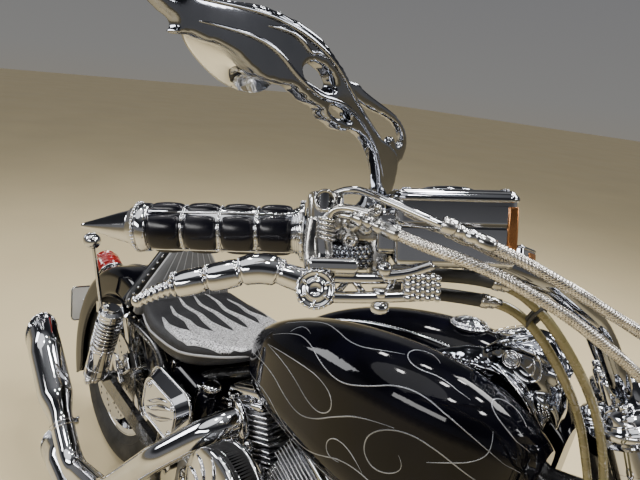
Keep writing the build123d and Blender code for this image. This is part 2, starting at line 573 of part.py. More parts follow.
# ---- hoses and cables along the bar ----
# each row is a point of the route, straight ahead
HOSE_UPPER = [lpt(14, -34, 24), (984, -444, 1118), (1020, -452, 1116), (1054, -452, 1112), (1085, -442, 1110), (1123, -420, 1104), (1162, -392, 1094), (1200, -352, 1084),
              (1240, -300, 1068), (1275, -246, 1036), ax(1085, 64, -206), ax(1020, 74, -172), ax(945, 76, -152), ax(868, 70, -150), ax(790, 58, -154), ax(715, 40, -157),
              ax(645, 16, -156), ax(585, -18, -146), ax(535, -56, -122), ax(495, -80, -90)]
HOSE_LOWER = [lpt(12, -36, -8), lpt(12, -38, 6), (985, -448, 1098), (1022, -452, 1098), (1057, -450, 1095), (1090, -441, 1095), (1129, -418, 1087), (1160, -394, 1077), (1198, -362, 1060),
              (1238, -300, 1038), (1270, -240, 1000), ax(1030, 60, -190), ax(960, 70, -160), ax(898, 74, -140), ax(852, 72, -96), ax(836, 70, -32), ax(834, 70, 36), ax(828, 68, 100),
              ax(790, 60, 146), ax(726, 44, 162), ax(656, 18, 160), ax(592, -18, 148), ax(538, -56, 122), ax(495, -80, 90)]
HOSE_R = 3.9


def route_radii(points):
    ps = [vec(p) for p in points]
    return [round(0.45 * min((b - a).length, (c - b).length) / math.tan(math.radians((b - a).get_angle(c - b)) / 2)) for a, b, c in zip(ps, ps[1:], ps[2:])]


hoses = [pipe(HOSE_UPPER, HOSE_R), pipe(HOSE_LOWER, HOSE_R)]
add("brake_hoses", group(hoses), "steer")
CABLE_A = [(1010, -352, 1062), (1045, -346, 1073), (1080, -338, 1083), (1108, -331, 1084), (1134, -317, 1072), (1160, -293, 1050), (1187, -260, 1022), (1211, -221, 990),
           (1232, -190, 952), (1248, -168, 912), (1263, -151, 872), (1277, -138, 832), ax(975, -32, -119), ax(953, -23, -100), STOP_A]
CABLE_B = [(1010, -340, 1046), (1045, -334, 1056), (1080, -328, 1064), (1106, -320, 1068), (1130, -306, 1058), (1154, -282, 1036), (1179, -248, 1008), (1202, -209, 975),
           (1221, -176, 938), (1240, -159, 897), (1254, -144, 858), (1268, -130, 824), ax(974, -46, -108), ax(952, -36, -86), STOP_B]
for nm, route, r in (("upper brake hose", HOSE_UPPER, HOSE_R), ("lower brake hose", HOSE_LOWER, HOSE_R), ("throttle cable", CABLE_A, 4.5), ("return cable", CABLE_B, 4.5)):
    runs = [round((vec(b) - vec(a)).length) for a, b in zip(route, route[1:])]
    print(nm, "runs", runs, "total", sum(runs), "radii", route_radii(route))
cables = [pipe(CABLE_A, 4.5), pipe(CABLE_B, 4.5)]
add("throttle_cables", group(cables), "steer")

# ---- write ----
os.makedirs("parts", exist_ok=True)
steer_axis = Axis((AXIS_GROUND_X, 0, 0), AXIS_DIR)
for name, (shape, side) in parts.items():
    if side == "steer":
        shape = shape.rotate(steer_axis, STEER)
    shape = shape.rotate(Axis.X, -LEAN).rotate(Axis.Y, PITCH)
    shape = Pos(*SHIFT) * shape
    shape.label = name
    export_step(shape, "parts/" + name + ".step")
print("pitch", round(PITCH, 4), "shift", [round(v, 3) for v in SHIFT], "foot z", round(fz, 2), "wheelbase", round(WHEELBASE, 1))
print("stand axis", [round(v, 6) for v in leaned(tuple(STAND_AXIS), PITCH)], "pivot", [round(v / 1000, 6) for v in park(STAND_PIVOT)], "foot", [round(v / 1000, 6) for v in park((fx, fy, fz))])
print("bar mid", [round(v / 1000, 6) for v in park(turned(BAR_MID))], "across", [round(v, 6) for v in leaned(rot((0, 1, 0), AXIS_DIR, STEER), PITCH)])
print("axis dir", [round(v, 6) for v in leaned(AXIS_DIR, PITCH)], "axis point", [round(v / 1000, 6) for v in park(ax(1000))])
print("front axle", [round(v / 1000, 6) for v in park(turned(AXLE_F))], "dir", [round(v, 6) for v in leaned(rot((0, 1, 0), AXIS_DIR, STEER), PITCH)])
print("rear axle", [round(v / 1000, 6) for v in park((0, 0, R_REAR))], "dir", [round(v, 6) for v in leaned((0, 1, 0), PITCH)])
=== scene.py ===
import math
import random
import bpy
import bmesh
from mathutils import Vector, Matrix
from mathutils.bvhtree import BVHTree


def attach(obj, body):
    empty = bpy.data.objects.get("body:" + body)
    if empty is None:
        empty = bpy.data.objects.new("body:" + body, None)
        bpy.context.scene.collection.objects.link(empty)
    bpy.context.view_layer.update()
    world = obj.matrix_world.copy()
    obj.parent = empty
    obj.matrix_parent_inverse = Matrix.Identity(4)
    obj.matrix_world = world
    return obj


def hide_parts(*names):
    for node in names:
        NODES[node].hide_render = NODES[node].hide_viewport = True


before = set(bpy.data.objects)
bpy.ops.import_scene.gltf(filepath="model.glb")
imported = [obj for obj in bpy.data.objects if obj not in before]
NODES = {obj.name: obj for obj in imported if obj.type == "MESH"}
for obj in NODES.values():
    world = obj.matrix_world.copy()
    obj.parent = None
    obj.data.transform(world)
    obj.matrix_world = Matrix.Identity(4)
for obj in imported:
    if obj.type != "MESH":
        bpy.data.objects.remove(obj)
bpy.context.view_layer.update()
rnd = random.Random(7)

# ---- the parked machine: upright, straight-ahead millimetres to the row frame in metres ----
RAKE, AXIS_GROUND_X, FORK_OFFSET, FORK_HALF = 32.0, 1840.0, 25.0, 106.0
R_FRONT, R_REAR, W_FRONT, W_REAR = 320.0, 325.0, 120.0, 140.0
LEAN, STEER, CROWN_F, CROWN_R = 9.0, 18.2, 60.0, 71.0
CX, CY = -784.33, -137.97
s_, c_ = math.sin(math.radians(RAKE)), math.cos(math.radians(RAKE))
AXIS_DIR = Vector((-s_, 0, c_))
AHEAD = Vector((c_, 0, s_))


def ax(s, off=0.0, y=0.0):
    return Vector((AXIS_GROUND_X + AXIS_DIR.x * s + AHEAD.x * off, y, AXIS_DIR.z * s + AHEAD.z * off))


S_AXLE = (R_FRONT - FORK_OFFSET * s_) / c_
AXLE_F = ax(S_AXLE, FORK_OFFSET)
R_LEAN = Matrix.Rotation(math.radians(-LEAN), 4, 'X')
G = Matrix.Translation((AXIS_GROUND_X, 0, 0))
R_STEER = G @ Matrix.Rotation(math.radians(STEER), 4, AXIS_DIR) @ G.inverted()


def lowest(c, n, radius, crown):
    return c.z - (radius - crown) * math.sqrt(1 - n.z ** 2) - crown


pitch = 0.0
for _ in range(12):
    R_P = Matrix.Rotation(math.radians(pitch), 4, 'Y')
    zr = lowest(R_P @ R_LEAN @ Vector((0, 0, R_REAR)), (R_P @ R_LEAN).to_3x3() @ Vector((0, 1, 0)), R_REAR, CROWN_R)
    nf = R_STEER.to_3x3() @ Vector((0, 1, 0))
    zf = lowest(R_P @ R_LEAN @ R_STEER @ AXLE_F, (R_P @ R_LEAN).to_3x3() @ nf, R_FRONT, CROWN_F)
    pitch += math.degrees(math.atan2(zf - zr, AXLE_F.x))
R_P = Matrix.Rotation(math.radians(pitch), 4, 'Y')
DROP = -lowest(R_P @ R_LEAN @ Vector((0, 0, R_REAR)), (R_P @ R_LEAN).to_3x3() @ Vector((0, 1, 0)), R_REAR, CROWN_R)
MM = Matrix.Scale(0.001, 4)
PARK = MM @ Matrix.Translation((CX, CY, DROP)) @ R_P @ R_LEAN      # frame side
TURN = PARK @ R_STEER                                               # steering side
M_OF = {"chassis": PARK, "steering": TURN, "front_wheel": TURN, "rear_wheel": PARK, "side_stand": PARK}

# ---- camera at the photograph's place, over the front right of the tank ----
F_PX = 462.0
cam_pos = MM @ Matrix.Translation((CX, CY, DROP)) @ R_P @ Vector((1322.0, -515.0, 1323.0))
head = math.radians(43.7)
down_px = Vector((163 - 320, 1550 - 240))
tilt = math.atan2(F_PX, down_px.length)
roll = math.atan2(-down_px.x, down_px.y)
right = Vector((math.cos(head), math.sin(head), 0))
flat = Vector((-math.sin(head), math.cos(head), 0))
down = Vector((0, 0, -1))
fwd = math.cos(tilt) * flat + math.sin(tilt) * down
dd = math.cos(tilt) * down - math.sin(tilt) * flat
X = right * math.cos(roll) - dd * math.sin(roll)
Y = -(right * math.sin(roll) + dd * math.cos(roll))
R3 = R_P.to_3x3()
X, Y, Z = R3 @ X, R3 @ Y, R3 @ (-fwd)
cam_data = bpy.data.cameras.new("camera")
cam_data.sensor_width = 36.0
cam_data.lens = 36.0 * F_PX / 640.0
cam_data.clip_start = 0.02
cam = bpy.data.objects.new("camera", cam_data)
cam.matrix_world = Matrix(((X.x, Y.x, Z.x, cam_pos.x), (X.y, Y.y, Z.y, cam_pos.y), (X.z, Y.z, Z.z, cam_pos.z), (0, 0, 0, 1)))
bpy.context.scene.collection.objects.link(cam)
bpy.context.scene.camera = cam

# ---- materials ----
def material(name, color, metallic=0.0, rough=0.4, **k):
    """Principled surface with noise-driven colour, roughness and fine relief."""
    m = bpy.data.materials.new(name)
    m.use_nodes = True
    nt = m.node_tree
    b = nt.nodes["Principled BSDF"]
    b.inputs["Metallic"].default_value = metallic
    b.inputs["Roughness"].default_value = rough
    b.inputs["Base Color"].default_value = (*color, 1)
    for key, val in k.get("sockets", {}).items():
        b.inputs[key].default_value = val
    tc = nt.nodes.new("ShaderNodeTexCoord")

    def noise(scale, detail=4.0, roughness=0.55):
        n = nt.nodes.new("ShaderNodeTexNoise")
        n.inputs["Scale"].default_value = scale
        n.inputs["Detail"].default_value = detail
        n.inputs["Roughness"].default_value = roughness
        nt.links.new(tc.outputs["Object"], n.inputs["Vector"])
        return n

    def ramp(src, c0, c1, p0=0.35, p1=0.65):
        r = nt.nodes.new("ShaderNodeValToRGB")
        r.color_ramp.elements[0].position = p0
        r.color_ramp.elements[1].position = p1
        r.color_ramp.elements[0].color = (*c0, 1)
        r.color_ramp.elements[1].color = (*c1, 1)
        nt.links.new(src, r.inputs["Fac"])
        return r

    if "color2" in k:
        n = noise(k.get("cscale", 40), k.get("cdetail", 5))
        nt.links.new(ramp(n.outputs["Fac"], color, k["color2"], *k.get("cpos", (0.35, 0.65))).outputs["Color"], b.inputs["Base Color"])
    if "rough2" in k:
        n = noise(k.get("rscale", 25), 6)
        mr = nt.nodes.new("ShaderNodeMapRange")
        mr.inputs["From Min"].default_value, mr.inputs["From Max"].default_value = 0.35, 0.7
        mr.inputs["To Min"].default_value, mr.inputs["To Max"].default_value = rough, k["rough2"]
        nt.links.new(n.outputs["Fac"], mr.inputs["Value"])
        nt.links.new(mr.outputs["Result"], b.inputs["Roughness"])
    if "bump" in k:
        kind, scale, strength, dist = k["bump"]
        if kind == "noise":
            t = noise(scale, 6)
            out = t.outputs["Fac"]
        elif kind == "grain":
            t = nt.nodes.new("ShaderNodeTexVoronoi")
            t.feature = 'DISTANCE_TO_EDGE'
            t.inputs["Scale"].default_value = scale
            nt.links.new(tc.outputs["Object"], t.inputs["Vector"])
            r = ramp(t.outputs["Distance"], (0, 0, 0), (1, 1, 1), 0.0, 0.12)
            out = r.outputs["Color"]
        elif kind == "cells":
            t = nt.nodes.new("ShaderNodeTexVoronoi")
            t.inputs["Scale"].default_value = scale
            nt.links.new(tc.outputs["Object"], t.inputs["Vector"])
            out = t.outputs["Distance"]
        else:
            t = nt.nodes.new("ShaderNodeTexWave")
            t.inputs["Scale"].default_value = scale
            t.bands_direction = k.get("wave_dir", 'Z')
            nt.links.new(tc.outputs["Object"], t.inputs["Vector"])
            out = t.outputs["Fac"]
        bm = nt.nodes.new("ShaderNodeBump")
        bm.inputs["Strength"].default_value = strength
        bm.inputs["Distance"].default_value = dist
        nt.links.new(out, bm.inputs["Height"])
        nt.links.new(bm.outputs["Normal"], b.inputs["Normal"])
    return m


COAT = {"Coat Weight": 1.0, "Coat Roughness": 0.03}
CHROME = material("chrome", (0.66, 0.66, 0.68), 1.0, 0.03, rough2=0.08, rscale=18, color2=(0.55, 0.56, 0.585), cscale=9)
# same chrome with a darker base colour: painted dark reflection, standing in for the dark surroundings this chrome
# mirrors
CHROME_PAINTED_DARK = material("chrome_painted_dark_reflections", (0.30, 0.31, 0.34), 1.0, 0.05, rough2=0.12, rscale=22, color2=(0.22, 0.23, 0.26), cscale=12)
WORN_CHROME = material("worn_chrome", (0.62, 0.62, 0.62), 1.0, 0.12, rough2=0.32, rscale=60, color2=(0.42, 0.41, 0.39), cscale=55, bump=("noise", 300, 0.08, 0.0006))
BLACK = material("black_lacquer", (0.0012, 0.0012, 0.0020), 0.0, 0.05, color2=(0.0022, 0.0022, 0.0050), cscale=14, rough2=0.09, rscale=40, sockets={"Coat Weight": 0.22, "Coat Roughness": 0.02, "Specular IOR Level": 0.13})
FRAME_BLACK = material("frame_paint", (0.003, 0.003, 0.004), 0.0, 0.16, color2=(0.016, 0.016, 0.017), cscale=30, rough2=0.4, rscale=45, sockets={"Coat Weight": 0.6, "Coat Roughness": 0.08}, bump=("noise", 180, 0.05, 0.0004))
ALLOY = material("cast_alloy", (0.42, 0.42, 0.43), 0.9, 0.30, rough2=0.46, rscale=50, color2=(0.33, 0.33, 0.335), cscale=35, bump=("noise", 420, 0.25, 0.0004))
POLISHED = material("polished_alloy", (0.68, 0.68, 0.69), 1.0, 0.10, rough2=0.2, rscale=30, color2=(0.58, 0.58, 0.60), cscale=22)
DISC = material("brake_disc_steel", (0.50, 0.50, 0.51), 1.0, 0.25, rough2=0.29, rscale=30, color2=(0.45, 0.45, 0.46), cscale=12)
TYRE = material("tyre_rubber", (0.012, 0.012, 0.012), 0.0, 0.62, rough2=0.82, rscale=30, color2=(0.026, 0.025, 0.024), cscale=18, bump=("noise", 500, 0.3, 0.0005))
LEATHER = material("seat_leather", (0.006, 0.006, 0.008), 0.0, 0.36, rough2=0.50, rscale=22, color2=(0.012, 0.012, 0.014), cscale=16, bump=("grain", 520, 0.35, 0.0006), sockets={"Specular IOR Level": 0.4})
GREY_LEATHER = material("pad_leather", (0.055, 0.056, 0.058), 0.0, 0.42, rough2=0.58, rscale=22, color2=(0.085, 0.086, 0.088), cscale=14, bump=("grain", 520, 0.35, 0.0006), sockets={"Sheen Weight": 0.1})
GLITTER = material("silver_glitter_vinyl", (0.10, 0.10, 0.105), 0.6, 0.22, rough2=0.5, rscale=700, color2=(0.80, 0.80, 0.82), cscale=310, cdetail=3, cpos=(0.40, 0.56), bump=("cells", 900, 0.9, 0.0009))
PINSTRIPE = material("pinstripe_silver", (0.34, 0.35, 0.37), 0.6, 0.30, rough2=0.45, rscale=200, color2=(0.15, 0.16, 0.18), cscale=14)
RUBBER = material("grip_rubber", (0.004, 0.004, 0.007), 0.0, 0.16, rough2=0.26, rscale=60, color2=(0.007, 0.007, 0.012), cscale=30, bump=("noise", 700, 0.06, 0.0002), sockets={"Specular IOR Level": 0.32})
BRAID = material("braided_steel", (0.80, 0.765, 0.72), 0.85, 0.20, rough2=0.34, rscale=500, color2=(0.54, 0.51, 0.47), cscale=260)
CABLE = material("olive_cable_sleeve", (0.110, 0.092, 0.034), 0.0, 0.22, rough2=0.35, rscale=70, color2=(0.165, 0.140, 0.060), cscale=40, sockets={"Coat Weight": 0.7, "Coat Roughness": 0.1})
SLEEVE = material("black_sleeve", (0.012, 0.012, 0.013), 0.0, 0.45, rough2=0.6, rscale=90, color2=(0.022, 0.022, 0.023), cscale=60, bump=("noise", 600, 0.2, 0.0003))
RED_LENS = material("red_lens", (0.42, 0.008, 0.006), 0.0, 0.08, color2=(0.30, 0.004, 0.004), cscale=40, rough2=0.14, sockets={"Transmission Weight": 0.35, "Coat Weight": 0.8})
AMBER = material("amber_lens", (0.80, 0.28, 0.02), 0.0, 0.08, color2=(0.66, 0.20, 0.01), cscale=50, rough2=0.14, sockets={"Transmission Weight": 0.35, "Coat Weight": 0.8})
GLASS = material("clear_lens", (0.93, 0.95, 0.97), 0.0, 0.03, rough2=0.07, rscale=20, sockets={"Transmission Weight": 0.92, "IOR": 1.49})
SIGHT = material("copper_reservoir", (0.52, 0.24, 0.09), 0.9, 0.14, rough2=0.28, rscale=30, color2=(0.30, 0.12, 0.04), cscale=26)
MIRROR_GLASS = material("mirror_glass", (0.86, 0.87, 0.88), 1.0, 0.012, rough2=0.03, rscale=6)
PLATE = material("plate_white", (0.74, 0.74, 0.71), 0.0, 0.35, rough2=0.5, rscale=30, color2=(0.66, 0.66, 0.63), cscale=12)
FLOOR = material("floor_pale", (0.74, 0.615, 0.37), 0.0, 0.40, rough2=0.52, rscale=1.2, color2=(0.70, 0.58, 0.345), cscale=0.9)
PIPING = material("piping", (0.30, 0.30, 0.31), 0.5, 0.4, rough2=0.55, rscale=200, color2=(0.42, 0.42, 0.43), cscale=400)

# every carried-over node gets its finish here
FINISH = {n: CHROME for n in NODES}
for n in ("cradle_frame", "steering_head_and_backbone", "swinging_arm"):
    FINISH[n] = FRAME_BLACK
for n in ("fuel_tank", "front_mudguard", "rear_mudguard"):
    FINISH[n] = BLACK
for n in ("front_cylinder", "rear_cylinder", "crankcase_and_gearbox"):
    FINISH[n] = ALLOY
FINISH["primary_cover"] = POLISHED
FINISH["front_brake_discs"] = FINISH["rear_brake_disc"] = DISC
FINISH["front_tyre"] = FINISH["rear_tyre"] = TYRE
FINISH["rider_seat"] = LEATHER
FINISH["seat_back_pad"] = GREY_LEATHER
FINISH["brake_hoses"] = BRAID
FINISH["throttle_cables"] = CABLE
FINISH["tail_light"] = RED_LENS
FINISH["number_plate"] = PLATE
# darker chrome base colour on the bar: painted dark reflection
FINISH["handlebar"] = CHROME_PAINTED_DARK
FINISH["rear_pulley"] = POLISHED


def smooth_by_angle(ob, angle=35):
    m = ob.modifiers.new("normals", 'WEIGHTED_NORMAL')
    m.keep_sharp = True
    m.weight = 60


for n, o in NODES.items():
    o.data.materials.clear()
    o.data.materials.append(FINISH[n])

# ---- floor and light ----
bpy.ops.mesh.primitive_plane_add(size=60, location=(0, 0, -0.0006))
floor = bpy.context.object
floor.name = "floor"
floor.data.materials.append(FLOOR)

world = bpy.context.scene.world or bpy.data.worlds.new("world")
bpy.context.scene.world = world
world.use_nodes = True
wn = world.node_tree
bg = wn.nodes["Background"]
wtc = wn.nodes.new("ShaderNodeTexCoord")
wsep = wn.nodes.new("ShaderNodeSeparateXYZ")
wr = wn.nodes.new("ShaderNodeValToRGB")
wmr = wn.nodes.new("ShaderNodeMapRange")
wmr.inputs["From Min"].default_value, wmr.inputs["From Max"].default_value = -1.0, 1.0
wn.links.new(wtc.outputs["Generated"], wsep.inputs["Vector"])
wn.links.new(wsep.outputs["Z"], wmr.inputs["Value"])
wn.links.new(wmr.outputs["Result"], wr.inputs["Fac"])
cr = wr.color_ramp
cr.elements[0].position, cr.elements[0].color = 0.0, (0.16, 0.15, 0.13, 1)
cr.elements[1].position, cr.elements[1].color = 1.0, (0.34, 0.345, 0.35, 1)
for pos, c4 in ((0.47, (0.24, 0.225, 0.20, 1)), (0.505, (0.22, 0.217, 0.21, 1)), (0.59, (0.19, 0.19, 0.195, 1)), (0.65, (0.035, 0.036, 0.04, 1)), (0.80, (0.022, 0.023, 0.027, 1)), (0.90, (0.13, 0.132, 0.138, 1))):
    e = cr.elements.new(pos)
    e.color = c4
wn.links.new(wr.outputs["Color"], bg.inputs["Color"])
bg.inputs["Strength"].default_value = 1.0


def area(name, loc, target, size, energy, color=(1, 1, 1), size_y=None):
    d = bpy.data.lights.new(name, 'AREA')
    d.energy = energy
    d.color = color
    d.size = size
    if size_y:
        d.shape = 'RECTANGLE'
        d.size_y = size_y
    o = bpy.data.objects.new(name, d)
    o.location = loc
    o.rotation_euler = (Vector(target) - Vector(loc)).to_track_quat('-Z', 'Y').to_euler()
    bpy.context.scene.collection.objects.link(o)
    return o


sun = bpy.data.lights.new("soft_sky", 'SUN')
sun.energy = 0.8
sun.angle = math.radians(50)
sun_ob = bpy.data.objects.new("soft_sky", sun)
sun_ob.rotation_euler = (math.radians(24), math.radians(-16), 0)
bpy.context.scene.collection.objects.link(sun_ob)
area("key", (0.8, 2.2, 3.0), (0, 0, 0.6), 2.2, 84, (1, 0.99, 0.97), 0.7)
area("fill", (-3.0, -2.2, 2.3), (0, 0, 0.5), 1.6, 50, (0.97, 0.98, 1), 0.8)
area("front", (3.3, 1.5, 2.5), (0.2, 0, 0.6), 1.4, 44, (1, 1, 1), 0.6)
area("right_side", (0.4, -3.2, 2.2), (0, 0, 0.6), 2.4, 46, (1, 0.99, 0.97), 0.5)
for i, (lx, ly) in enumerate([(-1.7, 0.4), (-0.7, 1.2), (0.2, 0.2), (1.1, 1.0), (-0.9, -0.7), (0.9, -0.9), (0.1, 2.0), (1.9, -0.1)]):
    area("panel_%d" % i, (lx, ly, 3.3), (lx, ly, 0), 0.24, 13, (1, 0.98, 0.95))


# ---- building helpers ----
def new_object(name, verts, faces, mat, body, M=None, smooth=True, slot=None, replaces=()):
    me = bpy.data.meshes.new(name)
    me.from_pydata([tuple(v) for v in verts], [], faces)
    me.validate()
    if M is None:
        M = M_OF[body]
    me.transform(M)
    if M.determinant() < 0:
        me.flip_normals()
    me.materials.append(mat)
    if smooth:
        for p in me.polygons:
            p.use_smooth = True
    me.update()
    o = bpy.data.objects.new(name, me)
    bpy.context.scene.collection.objects.link(o)
    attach(o, body)
    if replaces:
        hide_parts(*replaces)
    return o


class Build:
    """Gathers verts and faces of many small shapes into one mesh."""

    def __init__(self):
        self.v, self.f = [], []

    def add(self, v, f):
        n = len(self.v)
        self.v += [Vector(x) for x in v]
        self.f += [tuple(i + n for i in q) for q in f]
        return self

    def mirrored(self):
        b = Build()
        b.v = [Vector((v.x, -v.y, v.z)) for v in self.v]
        b.f = [tuple(reversed(q)) for q in self.f]
        return b

    def join(self, other):
        return self.add(other.v, other.f)

    def obj(self, name, mat, body, **k):
        return new_object(name, self.v, self.f, mat, body, **k)


def basis(d, up=Vector((0, 0, 1))):
    d = Vector(d).normalized()
    x = d.cross(up)
    if x.length < 1e-4:
        x = d.cross(Vector((1, 0, 0)))
    x.normalize()
    return d, x, x.cross(d).normalized()


def lathe(p, q, prof, n=32, closed=True):
    """Turned shape: prof rows (distance from p, radius) on the line p to q."""
    p, q = Vector(p), Vector(q)
    d, x, y = basis(q - p)
    vs, fs = [], []
    for t, r in prof:
        for i in range(n):
            a = 2 * math.pi * i / n
            vs.append(p + d * t + (x * math.cos(a) + y * math.sin(a)) * r)
    for j in range(len(prof) - 1):
        for i in range(n):
            k = (i + 1) % n
            fs.append((j * n + i, j * n + k, (j + 1) * n + k, (j + 1) * n + i))
    if closed:
        fs.append(tuple(range(n))[::-1])
        fs.append(tuple((len(prof) - 1) * n + i for i in range(n)))
    return vs, fs


def frames_along(pts):
    """Points with a twist-free normal and binormal."""
    out = []
    prev = None
    for i, p in enumerate(pts):
        a = pts[max(i - 1, 0)]
        b = pts[min(i + 1, len(pts) - 1)]
        d = (b - a).normalized()
        if prev is None:
            _, x, _y = basis(d)
        else:
            x = prev - d * prev.dot(d)
            x.normalize()
        prev = x
        out.append((p, d, x, d.cross(x)))
    return out


def nurbs(points, res=8, order=3):
    """Points along a smooth spline that has the given points as its control points."""
    cu = bpy.data.curves.new("tmp", 'CURVE')
    cu.dimensions = '3D'
    sp = cu.splines.new('NURBS')
    sp.points.add(len(points) - 1)
    for a, b in zip(sp.points, points):
        a.co = (*b, 1)
    sp.order_u = order
    sp.use_endpoint_u = True
    sp.resolution_u = res
    o = bpy.data.objects.new("tmp", cu)
    bpy.context.scene.collection.objects.link(o)
    me = bpy.data.meshes.new_from_object(o)
    pts = [v.co.copy() for v in me.vertices]
    bpy.data.objects.remove(o)
    bpy.data.curves.remove(cu)
    bpy.data.meshes.remove(me)
    return pts


def even(pts, step):
    """The same line with points every step."""
    out, left = [pts[0].copy()], step
    for a, b in zip(pts, pts[1:]):
        L = (b - a).length
        t = left
        while t <= L:
            out.append(a.lerp(b, t / L))
            t += step
        left = t - L
    if (out[-1] - pts[-1]).length > step * 0.3:
        out.append(pts[-1].copy())
    else:
        out[-1] = pts[-1].copy()
    return out


def tube(pts, radius, n=16, cap=True, shape=None):
    """Tube along pts; radius a number or a function of (share along, angle, distance)."""
    fr = frames_along(pts)
    vs, fs = [], []
    dist = 0.0
    total = sum((b - a).length for a, b in zip(pts, pts[1:])) or 1
    for j, (p, d, x, y) in enumerate(fr):
        if j:
            dist += (p - fr[j - 1][0]).length
        for i in range(n):
            a = 2 * math.pi * i / n
            r = radius(dist / total, a, dist) if callable(radius) else radius
            vs.append(p + (x * math.cos(a) + y * math.sin(a)) * r)
    for j in range(len(fr) - 1):
        for i in range(n):
            k = (i + 1) % n
            fs.append((j * n + i, j * n + k, (j + 1) * n + k, (j + 1) * n + i))
    if cap:
        fs.append(tuple(range(n))[::-1])
        fs.append(tuple((len(fr) - 1) * n + i for i in range(n)))
    return vs, fs


def rbox(c, size, r, R=None, seg=3):
    """Rounded box about c; R turns it."""
    bm = bmesh.new()
    bmesh.ops.create_cube(bm, size=1)
    bmesh.ops.scale(bm, vec=Vector(size), verts=bm.verts)
    bmesh.ops.bevel(bm, geom=list(bm.edges), offset=min(r, min(size) * 0.49), segments=seg, profile=0.5, affect='EDGES')
    M = Matrix.Translation(Vector(c)) @ (R.to_4x4() if R is not None else Matrix.Identity(4))
    vs = [M @ v.co for v in bm.verts]
    fs = [tuple(v.index for v in f.verts) for f in bm.faces]
    bm.free()
    return vs, fs


def torus(c, axis, R, r, n=40, m=12):
    d, x, y = basis(axis)
    vs, fs = [], []
    for i in range(n):
        a = 2 * math.pi * i / n
        e = x * math.cos(a) + y * math.sin(a)
        for j in range(m):
            b = 2 * math.pi * j / m
            vs.append(Vector(c) + e * (R + r * math.cos(b)) + d * r * math.sin(b))
    for i in range(n):
        for j in range(m):
            k, l = (i + 1) % n, (j + 1) % m
            fs.append((i * m + j, k * m + j, k * m + l, i * m + l))
    return vs, fs


def ball(c, r, n=24, m=14, scale=(1, 1, 1)):
    vs, fs = [], []
    for j in range(1, m):
        t = math.pi * j / m
        for i in range(n):
            a = 2 * math.pi * i / n
            vs.append(Vector(c) + Vector((r * scale[0] * math.sin(t) * math.cos(a), r * scale[1] * math.sin(t) * math.sin(a), r * scale[2] * math.cos(t))))
    top, bot = len(vs), len(vs) + 1
    vs += [Vector(c) + Vector((0, 0, r * scale[2])), Vector(c) - Vector((0, 0, r * scale[2]))]
    for j in range(m - 2):
        for i in range(n):
            k = (i + 1) % n
            fs.append((j * n + i, (j + 1) * n + i, (j + 1) * n + k, j * n + k))
    for i in range(n):
        k = (i + 1) % n
        fs.append((top, i, k))
        fs.append((bot, (m - 2) * n + k, (m - 2) * n + i))
    return vs, fs


def bolt(p, d, r=6.0, h=6.0, dome=True):
    """Cap bolt standing on p along d."""
    prof = [(0, r), (h * 0.7, r), (h * 0.92, r * 0.82), (h, r * 0.45)]
    if dome:
        prof.append((h * 0.86, r * 0.42))
        prof.append((h * 0.5, r * 0.40))
    p, d = Vector(p), Vector(d)
    return lathe(p, p + d, prof, 14)


# grip-local frame on the bar: x inwards along the bar, y forward of it, z up, origin at the grip's inner end
GRIP_IN, GRIP_OUT = Vector((952.0, -419.0, 1075.0)), Vector((844.0, -471.0, 1038.0))
gdir = (GRIP_OUT - GRIP_IN).normalized()
LX = -gdir
LZ = (Vector((0, 0, 1)) - LX * LX.z).normalized()
LY = LZ.cross(LX)


def lp(x, y, z):
    return GRIP_IN + LX * x + LY * y + LZ * z


LROT = Matrix((LX, LY, LZ)).transposed()


# ---- brake hoses and throttle cables: the routes' points, straight ahead ----
V = Vector
HOSE_UPPER = [lp(14, -34, 24), V((984, -444, 1118)), V((1020, -452, 1116)), V((1054, -452, 1112)), V((1085, -442, 1110)), V((1123, -420, 1104)), V((1162, -392, 1094)), V((1200, -352, 1084)),
              V((1240, -300, 1068)), V((1275, -246, 1036)), ax(1085, 64, -206), ax(1020, 74, -172), ax(945, 76, -152), ax(868, 70, -150), ax(790, 58, -154), ax(715, 40, -157),
              ax(645, 16, -156), ax(585, -18, -146), ax(535, -56, -122), ax(495, -80, -90)]
HOSE_LOWER = [lp(12, -36, -8), lp(12, -38, 6), V((985, -448, 1098)), V((1022, -452, 1098)), V((1057, -450, 1095)), V((1090, -441, 1095)), V((1129, -418, 1087)), V((1160, -394, 1077)), V((1198, -362, 1060)),
              V((1238, -300, 1038)), V((1270, -240, 1000)), ax(1030, 60, -190), ax(960, 70, -160), ax(898, 74, -140), ax(852, 72, -96), ax(836, 70, -32), ax(834, 70, 36), ax(828, 68, 100),
              ax(790, 60, 146), ax(726, 44, 162), ax(656, 18, 160), ax(592, -18, 148), ax(538, -56, 122), ax(495, -80, 90)]
CABLE_A = [V((1010, -352, 1062)), V((1045, -346, 1073)), V((1080, -338, 1083)), V((1108, -331, 1084)), V((1134, -317, 1072)), V((1160, -293, 1050)), V((1187, -260, 1022)), V((1211, -221, 990)),
           V((1232, -190, 952)), V((1248, -168, 912)), V((1263, -151, 872)), V((1277, -138, 832)), ax(975, -32, -119), ax(953, -23, -100), ax(933, -12, -84)]
CABLE_B = [V((1010, -340, 1046)), V((1045, -334, 1056)), V((1080, -328, 1064)), V((1106, -320, 1068)), V((1130, -306, 1058)), V((1154, -282, 1036)), V((1179, -248, 1008)), V((1202, -209, 975)),
           V((1221, -176, 938)), V((1240, -159, 897)), V((1254, -144, 858)), V((1268, -130, 824)), ax(974, -46, -108), ax(952, -36, -86), ax(933, -23, -67)]
HOSE_R = 3.9


def split_at(pts, d):
    """Cuts a line of points at distance d along it."""
    a, run = [pts[0]], 0.0
    for p, q in zip(pts, pts[1:]):
        L = (q - p).length
        if run + L >= d:
            m = p.lerp(q, (d - run) / L)
            i = pts.index(q)
            return a + [m], [m] + pts[i:]
        a.append(q)
        run += L
    return a, [a[-1]]


